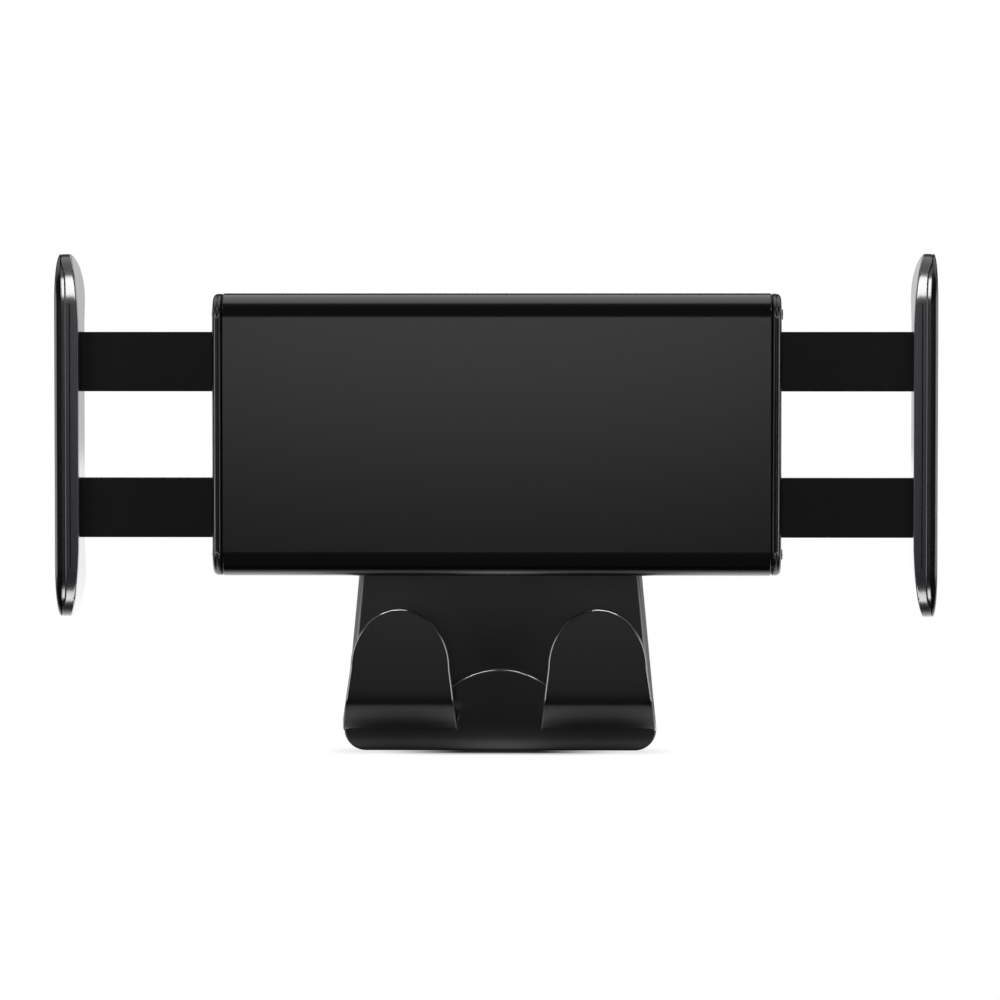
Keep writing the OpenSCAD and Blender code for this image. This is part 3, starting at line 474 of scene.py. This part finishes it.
# Jaws. Each is two mouldings: a satin outer cover and a glossy core with a shadow groove between them, and a
# soft pad behind the front lip. All three share one outline, a plate with round ends seen from the side, and
# the inner side bows away towards both ends.
jaw_end_r, cut_slack = 11.0, 0.02
jaw_bow_reach, jaw_bow_depth, jaw_bow_fullness = 16.6, 3.7, 0.94
jaw_rim, jaw_rim_share, core_rim, lip_rim, pad_rim = 0.9, 0.8, 0.45, 0.4, 0.3
groove_width, groove_depth, groove_shut = 0.65, 0.9, 0.04
groove_shut_from, groove_shut_run = 4.5, 3.5
swing_reach, swing_out = 10.0, 1.15
lip_depth, lip_end, face_rise = 3.0, 3.5, 2
pad_margin, pad_crown, pad_bed = 0.6, 0.04, 0.05
lip_overlap, pad_overlap, spigot_front_overlap, spigot_back_overlap = 0.2, 0.02, 0.1, 0.3


def jaw_outline(lo, hi, inset=0.0, front=None, back=None, steps=16, straights=14):
    """A jaw's plate from the side, as (y, z) up its front and down its back, cut off at front or back."""
    r = min((hi[1] - lo[1]) / 2, jaw_end_r)
    straight_half = (hi[2] - lo[2]) / 2 - r
    last = math.pi / 2
    if back is not None:
        last = math.acos(min(1.0, (r - (back - lo[1]) + cut_slack) / (r - inset)))
    arc = [(lo[1] + r - (r - inset) * math.cos(a), straight_half + (r - inset) * math.sin(a))
           for a in arc_angles(0, last, steps)]
    straight = [(lo[1] + inset, straight_half * (2 * i / straights - 1)) for i in range(1, straights)]
    up = [(y, -z) for y, z in reversed(arc)] + straight + arc
    down = [(lo[1] + hi[1] - y if back is None else back - inset, z) for y, z in reversed(up)]
    if front is not None:
        up = [(min(max(y, front + inset), max(y, lo[1] + hi[1] - y)), z) for y, z in up]
    return up + down


def jaw_loft(name, rings, material):
    """Skins jaw outlines and closes both ends with strips from front to back, so bowed ends stay smooth."""
    made = loft(name, rings, material, caps=False)
    n = len(rings[0])
    mesh = bmesh.new()
    mesh.from_mesh(made.data)
    for ring in (rings[0], rings[-1]):
        verts = [mesh.verts.new([c * MM for c in p]) for p in ring]
        for i in range(n // 2 - 1):
            mesh.faces.new((verts[i], verts[i + 1], verts[n - 2 - i], verts[n - 1 - i]))
    bmesh.ops.remove_doubles(mesh, verts=mesh.verts, dist=0.003 * MM)
    bmesh.ops.dissolve_degenerate(mesh, dist=0.001 * MM, edges=mesh.edges)
    bmesh.ops.recalc_face_normals(mesh, faces=mesh.faces)
    mesh.to_mesh(made.data)
    mesh.free()
    return made


def joined(pieces):
    """Several meshes of one moulding as one mesh."""
    mesh = bmesh.new()
    for piece in pieces:
        mesh.from_mesh(piece.data)
    mesh.to_mesh(pieces[0].data)
    mesh.free()
    for piece in pieces[1:]:
        bpy.data.objects.remove(piece)
    return pieces[0]


def quarter(count):
    """Turns of a rounded rim as pairs: how far in from the outline and from the face, both 0 to 1."""
    return [(1 - math.sin(a), 1 - math.cos(a)) for a in arc_angles(0, math.pi / 2, count)]


def eased(t):
    """0 to 1 with a soft start and end."""
    t = min(1.0, max(0.0, t))
    return t * t * (3 - 2 * t)


def jaw_bow(z, half):
    """How far a jaw's inner side has curved away at height z."""
    t = max(0.0, abs(z) - (half - jaw_bow_reach)) / jaw_bow_reach
    return jaw_bow_depth * (1 - math.sqrt(1 - jaw_bow_fullness * min(t, 1.0) ** 2))


def split_swing(z, half):
    """How far the joint between cover and core has swung outwards at height z, to wrap the end."""
    return swing_out * (max(0.0, abs(z) - (half - swing_reach)) / swing_reach) ** 2


for side, sign in (("left", -1), ("right", 1)):
    lo, hi = box_mm(side + "_jaw_cover")
    half = (hi[2] - lo[2]) / 2
    x_out = hi[0] if sign > 0 else lo[0]

    def inward_span(piece):
        """How far in from the cover's outer face a piece of this jaw begins and ends."""
        ends = [abs(x_out - corner[0]) for corner in box_mm(side + piece)]
        return min(ends), max(ends)

    shell = inward_span("_jaw_cover")[1]
    lip_at = inward_span("_jaw_core")[1]
    face_at, pad_at = inward_span("_jaw_pad")

    def ring(x_of, inset=0.0, front=None, back=None):
        """One outline of this jaw with x given from z, measured inwards from the cover's outer face."""
        return [(x_out - sign * x_of(z), y, z) for y, z in jaw_outline(lo, hi, inset, front, back)]

    def cover_end(z):
        return shell - split_swing(z, half)

    def groove_end(z):
        """Where the core begins behind the shadow groove, which closes towards the jaw's ends."""
        shut = eased((abs(z) - half + groove_shut_from) / groove_shut_run)
        return shell + groove_width - split_swing(z, half) - (groove_width - groove_shut) * shut

    def pad_surface(z):
        """The pad's inner side, which rises to the lip towards the jaw's ends."""
        rise = eased((abs(z) - half + jaw_bow_reach) / (jaw_bow_reach - lip_end))
        return pad_at - jaw_bow(z, half) + (lip_at - pad_at) * rise

    def core_face(z):
        """The core's inner side: flat under the pad, and just below its surface at the very end."""
        under_pad = min(face_at, pad_surface(z) - pad_bed)
        rise = eased((abs(z) - half + lip_end + face_rise) / face_rise)
        return under_pad + (pad_surface(z) - pad_bed - under_pad) * rise

    def lip_face(z):
        return lip_at - jaw_bow(z, half)

    cover = jaw_loft(
        side + "_jaw_cover_moulding",
        [ring(lambda z: far * min(jaw_rim, jaw_rim_share * cover_end(z)), near * jaw_rim)
         for near, far in quarter(6)] + [ring(cover_end)],
        finishes["jaw_cover_plastic"])
    panel = jaw_loft(
        side + "_jaw_core_moulding",
        [ring(lambda z: groove_end(z) + far * core_rim, near * core_rim) for near, far in quarter(5)]
        + [ring(lambda z: groove_end(z) + core_rim + (core_face(z) - groove_end(z) - core_rim) * t)
           for t in (0.25, 0.5, 0.75, 1.0)],
        finishes["jaw_plastic"])
    lip_back = lo[1] + lip_depth
    lip = jaw_loft(
        side + "_jaw_lip",
        [ring(lambda z: core_face(z) - lip_overlap, back=lip_back),
         ring(lambda z: core_face(z) + 0.5 * (lip_face(z) - lip_rim - core_face(z)), back=lip_back)]
        + [ring(lambda z: lip_face(z) - far * lip_rim, near * lip_rim, back=lip_back)
           for near, far in reversed(quarter(4))],
        finishes["jaw_plastic"])
    spigot = jaw_loft(
        side + "_jaw_spigot",
        [ring(lambda z: cover_end(z) - spigot_front_overlap, groove_depth),
         ring(lambda z: groove_end(z) + spigot_back_overlap, groove_depth)],
        finishes["jaw_plastic"])
    core = joined([panel, lip, spigot])

    pad_front = box_mm(side + "_jaw_pad")[0][1]
    pad = jaw_loft(
        side + "_jaw_pad_moulding",
        [ring(lambda z: core_face(z) - pad_overlap, pad_margin, front=pad_front)]
        + [ring(lambda z: pad_surface(z) - far * pad_crown, pad_margin + near * pad_rim, front=pad_front)
           for near, far in reversed(quarter(3))],
        finishes["soft_pad"])
    for piece, node in ((cover, "_jaw_cover"), (core, "_jaw_core"), (pad, "_jaw_pad")):
        dress(smooth(piece, 50), side + node)

# Drop plate. A thin moulding of the same plastic as the hooks, whose long sides and foot turn back, which
# leaves a soft outer bend all round the front. It is screwed to the post bar behind it.
plate_lo, plate_hi = box_mm("drop_plate")
plate_front, plate_back, plate_foot, plate_top = plate_lo[1], plate_hi[1], plate_lo[2], plate_hi[2]
plate_half_top, plate_half_foot, plate_taper_end = 27.7, 35.6, -66.0
plate_sheet, plate_bend_r, plate_corner_r = 2.0, 1.5, 5.0
turned_back_top = -18.0
cutter_half_width, cutter_margin = 60, 5


def plate_half(z):
    """Half the plate's width at height z."""
    taper = plate_half_foot - plate_half_top
    return plate_half_top + taper * (plate_top - z) / (plate_top - plate_taper_end)


def plate_ring(y, top, inset=0.0, steps=12):
    """The plate's outline at a depth, up to a height: a taper with two round lower corners."""
    corner_z = plate_foot + plate_corner_r
    corner_x = plate_half(corner_z) - plate_corner_r
    r = plate_corner_r - inset
    right = [(plate_half(top) - inset, top - inset)]
    right += [(corner_x + r * math.cos(a), corner_z + r * math.sin(a))
              for a in arc_angles(0, -math.pi / 2, steps)]
    return [(x, y, z) for x, z in right] + [(-x, y, z) for x, z in reversed(right)]


def carve(piece, cutters):
    """Cuts shapes from a piece and removes the shapes."""
    for cutter in cutters:
        cut = piece.modifiers.new("carve", "BOOLEAN")
        cut.operation = "DIFFERENCE"
        cut.solver = "EXACT"
        cut.object = cutter
    settle(piece)
    for cutter in cutters:
        bpy.data.objects.remove(cutter)


plate_bend = [plate_ring(plate_front + plate_bend_r * near, plate_top, plate_bend_r * far)
              for near, far in reversed(quarter(5))]
plate = loft("drop_plate_sheet", plate_bend + [plate_ring(plate_back, plate_top)], finishes["plate_plastic"])
pocket = loft(
    "plate_pocket",
    [plate_ring(plate_front + plate_sheet, turned_back_top + 1, plate_sheet),
     plate_ring(plate_back + 1, turned_back_top + 1, plate_sheet)], None)
above = link_mesh(
    "plate_above",
    [(x * MM, y * MM, z * MM) for z in (turned_back_top, plate_top + cutter_margin)
     for y in (plate_front + plate_sheet, plate_back + cutter_margin)
     for x in (-cutter_half_width, cutter_half_width)],
    [(0, 1, 3, 2), (4, 6, 7, 5), (0, 4, 5, 1), (2, 3, 7, 6), (0, 2, 6, 4), (1, 5, 7, 3)])
outwards(above)
carve(plate, [pocket, above])
dress(smooth(plate, 30), "drop_plate")

# Double hook. One moulding: two broad tongues that turn forwards and up from a low panel, whose top edge
# arches between them. The tongues' rims are rounded, and a fillet strengthens the throat.
hook_lo, hook_hi = box_mm("double_hook")
hook_sheet, hook_rim, hook_bend_r, hook_fillet = 2.2, 0.4, 8.8, 4.0
hook_underside, hook_foot, panel_depth = -68.0, -69.0, 2.5
hook_top_centre, hook_top_half, hook_top_rise, hook_inner_foot = 22.3, 11.2, 13.3, 9.1
hook_root, fillet_from_inner, fillet_from_outer, fillet_overlap = 1.2, 1.2, 1.6, 0.1
hook_front, hook_tip = hook_lo[1], hook_hi[2]
panel_front = hook_hi[1] - panel_depth
bend_y, bend_z = hook_front + hook_bend_r, hook_underside + hook_bend_r
middle_r = hook_bend_r - hook_sheet / 2
floor_run = panel_front + hook_root - bend_y
bend_run = middle_r * math.pi / 2
tongue_run = hook_tip - bend_z


def hook_path(u):
    """The middle of the sheet at a distance from its root: its depth, height and outward direction."""
    if u < floor_run:
        return panel_front + hook_root - u, bend_z - middle_r, (0.0, -1.0)
    if u < floor_run + bend_run:
        a = (u - floor_run) / middle_r
        return bend_y - middle_r * math.sin(a), bend_z - middle_r * math.cos(a), (-math.sin(a), -math.cos(a))
    return bend_y - middle_r, bend_z + (u - floor_run - bend_run), (-1.0, 0.0)


def hook_span(u):
    """The hook's inner and outer edge: straight and slightly flared, then a half ellipse."""
    z = hook_path(u)[1]
    ellipse_z = hook_tip - hook_top_rise
    if z >= ellipse_z:
        reach = hook_top_half * math.sqrt(max(0.0, 1 - ((z - ellipse_z) / hook_top_rise) ** 2))
        return hook_top_centre - reach, hook_top_centre + reach
    flare = (ellipse_z - max(z, hook_foot)) / (ellipse_z - hook_foot)
    inner = hook_top_centre - hook_top_half
    outer = hook_top_centre + hook_top_half
    return inner + (hook_inner_foot - inner) * flare, outer + (plate_half(hook_foot) - outer) * flare


def inset_outline(points, inset):
    """A closed outline moved inwards by a distance, point by point."""
    along = np.roll(points, -1, axis=0) - np.roll(points, 1, axis=0)
    along /= np.linalg.norm(along, axis=1)[:, None]
    return points + inset * np.stack([along[:, 1], -along[:, 0]], axis=1)


def tongue_outline():
    """One tongue in the flat sheet, as (distance from the root, x): out along its outer edge and back."""
    bend_end = floor_run + bend_run
    ellipse_start = bend_end + tongue_run - hook_top_rise
    stations = [floor_run * i / 6 for i in range(6)]
    stations += [floor_run + bend_run * i / 18 for i in range(18)]
    stations += [bend_end + (ellipse_start - bend_end) * i / 5 for i in range(5)]
    stations += [ellipse_start + hook_top_rise * math.sin(math.pi / 2 * i / 28) for i in range(28)]
    spans = [hook_span(u) for u in stations]
    outer_edge = [(u, span[1]) for u, span in zip(stations, spans)]
    inner_edge = [(u, span[0]) for u, span in zip(stations, spans)]
    tip = (bend_end + tongue_run - 1e-4, hook_top_centre)
    return np.array(outer_edge + [tip] + inner_edge[::-1])


def tongue(name, sign):
    """One bent tongue: its flat outline, rounded over both rims, then bent along the path."""
    outline = tongue_outline()
    n = len(outline)
    rims = [(near * hook_rim, hook_sheet / 2 - far * hook_rim) for near, far in reversed(quarter(5))]
    layers = rims + [(inset, -reach) for inset, reach in reversed(rims)]
    verts, faces = [], []
    for inset, reach in layers:
        for u, v in inset_outline(outline, inset):
            y, z, out = hook_path(max(0.0, u))
            verts.append((sign * v * MM, (y + reach * out[0]) * MM, (z + reach * out[1]) * MM))
    for a in range(0, (len(layers) - 1) * n, n):
        faces += [(a + i, a + (i + 1) % n, a + n + (i + 1) % n, a + n + i) for i in range(n)]
    for a in (0, (len(layers) - 1) * n):
        faces += [(a + i, a + i + 1, a + n - 2 - i, a + n - 1 - i) for i in range(n // 2 - 1)]
        faces.append((a + n // 2 - 1, a + n // 2, a + n // 2 + 1))
    made = link_mesh(name, verts, faces, finishes["hook_plastic"])
    outwards(made)
    return made


def throat_fillet(name, sign):
    """The concave fillet between a tongue's floor and the panel, kept clear of the tongue's rims."""
    inner, outer = hook_span(0.0)
    root_y, root_z = panel_front + fillet_overlap, hook_underside + hook_sheet - fillet_overlap
    section = [(root_y - hook_fillet * near, root_z + hook_fillet * far) for near, far in quarter(8)]
    section.append((root_y, root_z))
    rings = [[(sign * x, y, z) for y, z in section]
             for x in (inner + fillet_from_inner, outer - fillet_from_outer)]
    return loft(name, rings, finishes["hook_plastic"])


arch_r, arch_top, panel_rim = 17.6, -54.8, 0.4
panel_shoulder = hook_underside + hook_sheet + hook_fillet


def panel_ring(y, inset):
    """The panel's outline at a depth: the plate's foot, two shoulders and the arch between them."""
    foot = plate_ring(y, panel_shoulder, inset)
    r = arch_r - inset
    arch_z = arch_top - arch_r
    start = math.asin((panel_shoulder - inset - arch_z) / r)
    arch = [(r * math.cos(a), y, arch_z + r * math.sin(a)) for a in arc_angles(start, math.pi - start, 40)]
    return arch[::-1] + foot


tongues = [tongue("double_hook_moulding", -1), tongue("hook_right", 1)]
fillets = [throat_fillet("left_fillet", -1), throat_fillet("right_fillet", 1)]
panel_bend = [panel_ring(panel_front + panel_rim * near, panel_rim * far)
              for near, far in reversed(quarter(3))]
panel = loft("hook_panel", panel_bend + [panel_ring(hook_hi[1], 0)], finishes["hook_plastic"])
hooks = smooth(joined(tongues + fillets + [panel]), 50)
dress(hooks, "double_hook")


# Screws. Pan-head screws of black-oxide steel with a cross recess, in sets of three or four of one kind. One
# node tree draws a screw from its sizes and sets it at every seat, turned to the direction in which its head
# looks.
def growing_tree(name, inputs, output):
    """An empty geometry tree with named inputs and one output, with its input sockets."""
    tree = bpy.data.node_groups.new(name, "GeometryNodeTree")
    for label, kind in inputs.items():
        tree.interface.new_socket(label, in_out="INPUT", socket_type="NodeSocket" + kind)
    tree.interface.new_socket(output, in_out="OUTPUT", socket_type="NodeSocketGeometry")
    return tree, add_node(tree, "NodeGroupInput").outputs


def moved_up(tree, shape, height):
    offset = add_node(tree, "ShaderNodeCombineXYZ", {"Z": height}).outputs[0]
    return add_node(tree, "GeometryNodeTransform", {"Geometry": shape, "Translation": offset}).outputs[0]


def set_at_seats(tree, seats, shape, material, output, turn=(0.0, 0.0, 0.0)):
    """Sets a shape at every seat, makes the copies real and gives them their material."""
    placed = add_node(
        tree, "GeometryNodeInstanceOnPoints", {"Points": seats, "Instance": shape, "Rotation": turn})
    real = add_node(tree, "GeometryNodeRealizeInstances", {"Geometry": placed.outputs[0]})
    finished = add_node(tree, "GeometryNodeSetMaterial", {"Geometry": real.outputs[0], "Material": material})
    add_node(tree, "NodeGroupOutput", {output: finished.outputs[0]})


def screw_tree():
    """Points with an axis attribute in, finished screws out. The seat is the underside of the head."""
    tree, given = growing_tree("cross_recess_screws", {
        "Seats": "Geometry", "Head Radius": "Float", "Head Height": "Float", "Shank Radius": "Float",
        "Length": "Float", "Recess Length": "Float", "Recess Width": "Float", "Recess Depth": "Float",
        "Steel": "Material"}, "Screws")

    def times(value, factor):
        return maths(tree, "MULTIPLY", value, factor)

    layers = []
    for bottom_r, top_r, low, tall in ((1.0, 1.0, 0.0, 0.45), (1.0, 0.9, 0.45, 0.3), (0.9, 0.62, 0.75, 0.25)):
        cone = add_node(tree, "GeometryNodeMeshCone", {
            "Vertices": 32, "Radius Bottom": times(given["Head Radius"], bottom_r),
            "Radius Top": times(given["Head Radius"], top_r), "Depth": times(given["Head Height"], tall)})
        layers.append(moved_up(tree, cone.outputs["Mesh"], times(given["Head Height"], low)))
    shank = add_node(tree, "GeometryNodeMeshCone", {
        "Vertices": 24, "Radius Bottom": times(given["Shank Radius"], 0.75),
        "Radius Top": given["Shank Radius"], "Depth": given["Length"]})
    layers.append(moved_up(tree, shank.outputs["Mesh"], times(given["Length"], -1.0)))
    solid = add_node(tree, "GeometryNodeJoinGeometry")
    for layer in reversed(layers):
        tree.links.new(layer, solid.inputs[0])
    cross = add_node(tree, "GeometryNodeMeshBoolean", operation="UNION")
    for first, second in (("Recess Length", "Recess Width"), ("Recess Width", "Recess Length")):
        size = add_node(tree, "ShaderNodeCombineXYZ", {
            "X": given[first], "Y": given[second], "Z": times(given["Recess Depth"], 2.0)}).outputs[0]
        arm = add_node(tree, "GeometryNodeMeshCube", {"Size": size}).outputs["Mesh"]
        tree.links.new(moved_up(tree, arm, given["Head Height"]), cross.inputs["Mesh 2"])
    recessed = add_node(tree, "GeometryNodeMeshBoolean", {
        "Mesh 1": solid.outputs[0], "Mesh 2": cross.outputs["Mesh"]}, operation="DIFFERENCE")
    axis = add_node(tree, "GeometryNodeInputNamedAttribute", {"Name": "axis"}, data_type="FLOAT_VECTOR")
    turn = add_node(
        tree, "FunctionNodeAlignRotationToVector", {"Vector": axis.outputs["Attribute"]}, axis="Z")
    set_at_seats(tree, given["Seats"], recessed.outputs["Mesh"], given["Steel"], "Screws", turn.outputs[0])
    return tree


def grown(name, points, tree, values, axes=None):
    """A piece grown by a node tree from points in mm, as one plain mesh."""
    made = link_mesh(name, [[c * MM for c in p] for p in points], [])
    if axes:
        attribute = made.data.attributes.new("axis", "FLOAT_VECTOR", "POINT")
        attribute.data.foreach_set("vector", [c for axis in axes for c in axis])
    modifier = made.modifiers.new("grow", "NODES")
    modifier.node_group = tree
    sockets = {item.name: item.identifier for item in tree.interface.items_tree if item.in_out == "INPUT"}
    for label, value in values.items():
        modifier[sockets[label]] = value
    settle(made)
    return made


screw_head_r, screw_head_t, screw_shank_r = 2.1, 1.2, 1.25
recess_length, recess_width, recess_depth = 2.2, 0.5, 0.7
cap_screw_length, socket_circle_r = 9.0, 15.6


def seats_of(node):
    """The half spans and depths of a set's seats, from the box of its solids, to a tenth of a mm."""
    lo, hi = box_mm(node)
    return {
        "x": round(hi[0] - screw_head_r, 1), "high": round(hi[2] - screw_head_r, 1),
        "low": round(lo[2] + screw_head_r, 1), "front": round(lo[1] + screw_head_t, 1),
        "back": round(hi[1] - screw_head_t, 1), "length": round(hi[1] - lo[1] - screw_head_t, 1)}


def corners(half_x, half_z):
    return [(sx * half_x, sz * half_z) for sx in (-1, 1) for sz in (-1, 1)]


cap_lo, cap_hi = box_mm("end_cap_screws")
cap_seat_x, cap_seat_y = round(cap_hi[0] - screw_head_t, 1), round((cap_lo[1] + cap_hi[1]) / 2, 1)
socket, hook, bar, cover = (seats_of(set_name + "_screws") for set_name in ("socket", "hook", "bar", "cover"))
socket_seats = [(socket_circle_r * math.cos(a), socket_circle_r * math.sin(a))
                for a in (math.pi / 4 + math.pi / 2 * i for i in range(4))]
hook_seats = [(-hook["x"], hook["low"]), (0, hook["high"]), (hook["x"], hook["low"])]
screw_sets = {
    "end_cap_screws": (cap_screw_length, [
        ((x, cap_seat_y, z), (math.copysign(1, x), 0, 0))
        for x, z in corners(cap_seat_x, round(cap_hi[2] - screw_head_r, 1))]),
    "socket_screws": (socket["length"], [((x, socket["back"], z), (0, 1, 0)) for x, z in socket_seats]),
    "hook_screws": (hook["length"], [((x, hook["back"], z), (0, 1, 0)) for x, z in hook_seats]),
    "bar_screws": (bar["length"], [
        ((x, bar["front"], z), (0, -1, 0)) for x, z in corners(bar["x"], bar["high"])]),
    "cover_screws": (cover["length"], [
        ((x, cover["back"], z), (0, 1, 0)) for x, z in corners(cover["x"], cover["high"])]),
}
screw_growth = screw_tree()
for node, (length, seats) in screw_sets.items():
    screws = grown(node + "_turned", [at for at, _ in seats], screw_growth, {
        "Head Radius": screw_head_r * MM, "Head Height": screw_head_t * MM,
        "Shank Radius": screw_shank_r * MM, "Length": length * MM, "Recess Length": recess_length * MM,
        "Recess Width": recess_width * MM, "Recess Depth": recess_depth * MM,
        "Steel": finishes[slot_of[node]]}, [axis for _, axis in seats])
    dress(smooth(screws, 35), node)


# Lock knob. A moulded nylon grip of six round lobes on a core, with a blind bore for the lock screw. One node
# tree sets the lobes round the core, so their number and size can change.
def knob_tree():
    """A seat point in, a lobed grip out, which stands on the seat and points along +y."""
    tree, given = growing_tree("lobed_grip", {
        "Seat": "Geometry", "Core Radius": "Float", "Lobe Radius": "Float", "Lobe Circle": "Float",
        "Lobe Start": "Float", "Thickness": "Float", "Bore Radius": "Float", "Bore Depth": "Float",
        "Lobes": "Int", "Plastic": "Material"}, "Grip")

    def rod(vertices, radius, start, end):
        """A cylinder along z from start to end."""
        length = maths(tree, "SUBTRACT", end, start)
        middle = maths(tree, "MULTIPLY", maths(tree, "ADD", start, end), 0.5)
        shape = add_node(
            tree, "GeometryNodeMeshCylinder", {"Vertices": vertices, "Radius": radius, "Depth": length})
        return moved_up(tree, shape.outputs["Mesh"], middle)

    core_rod = rod(72, given["Core Radius"], 0.0, given["Thickness"])
    lobe = rod(40, given["Lobe Radius"], given["Lobe Start"], given["Thickness"])
    circle = add_node(
        tree, "GeometryNodeMeshCircle", {"Vertices": given["Lobes"], "Radius": given["Lobe Circle"]})
    copies = add_node(
        tree, "GeometryNodeInstanceOnPoints", {"Points": circle.outputs["Mesh"], "Instance": lobe})
    lobes = add_node(tree, "GeometryNodeRealizeInstances", {"Geometry": copies.outputs[0]}).outputs[0]
    grip = add_node(
        tree, "GeometryNodeMeshBoolean", {"Self Intersection": True}, operation="UNION", solver="EXACT")
    for shape in (core_rod, lobes):
        tree.links.new(shape, grip.inputs["Mesh 2"])
    bore = rod(32, given["Bore Radius"], -MM, given["Bore Depth"])
    bored = add_node(tree, "GeometryNodeMeshBoolean", {"Mesh 1": grip.outputs["Mesh"], "Mesh 2": bore},
                     operation="DIFFERENCE", solver="EXACT")
    turned = add_node(tree, "GeometryNodeTransform", {
        "Geometry": bored.outputs["Mesh"], "Rotation": (-math.pi / 2, 0.0, 0.0)})
    set_at_seats(tree, given["Seat"], turned.outputs[0], given["Plastic"], "Grip")
    return tree


knob_lo, knob_hi = box_mm("lock_knob")
knob_core_r, knob_lobe_r, knob_lobe_circle_r, knob_lobe_start = 9.5, 3.4, 8.1, 1.0
knob_bore_r, knob_bore_depth, knob_edge, knob_lobes = 2.5, 5.4, 0.7, 6
knob = grown("lock_knob_lobed", [(0, knob_lo[1], 0)], knob_tree(), {
    "Core Radius": knob_core_r * MM, "Lobe Radius": knob_lobe_r * MM, "Lobe Circle": knob_lobe_circle_r * MM,
    "Lobe Start": knob_lobe_start * MM, "Thickness": (knob_hi[1] - knob_lo[1]) * MM,
    "Bore Radius": knob_bore_r * MM, "Bore Depth": knob_bore_depth * MM, "Lobes": knob_lobes,
    "Plastic": finishes[slot_of["lock_knob"]]})
round_edges(knob, knob_edge)
dress(smooth(knob, 40), "lock_knob")


# Accent lights. Narrow lights from the studio that reach one group of pieces each, as flags and grids do
# round a black product, so that its rims, bends and ends shine while its flats stay dark.
def accent(name, pieces):
    """Points the accent lights of that name at these pieces alone."""
    group = bpy.data.collections.new("lit_" + name)
    for piece in pieces:
        group.objects.link(piece)
    for light in accents[name]:
        light.light_linking.receiver_collection = group


accent("jaws", [bpy.data.objects[side + "_jaw_core_moulding"] for side in ("left", "right")])
accent("hooks", [hooks])
accent("plate_sides", [hooks, plate])
for side in ("left", "right"):
    ends = ("_jaw_core_moulding", "_jaw_cover_moulding", "_end_cap_edged")
    accent(side + "_edges", [sleeve] + [bpy.data.objects[side + end] for end in ends])

lo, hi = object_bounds()
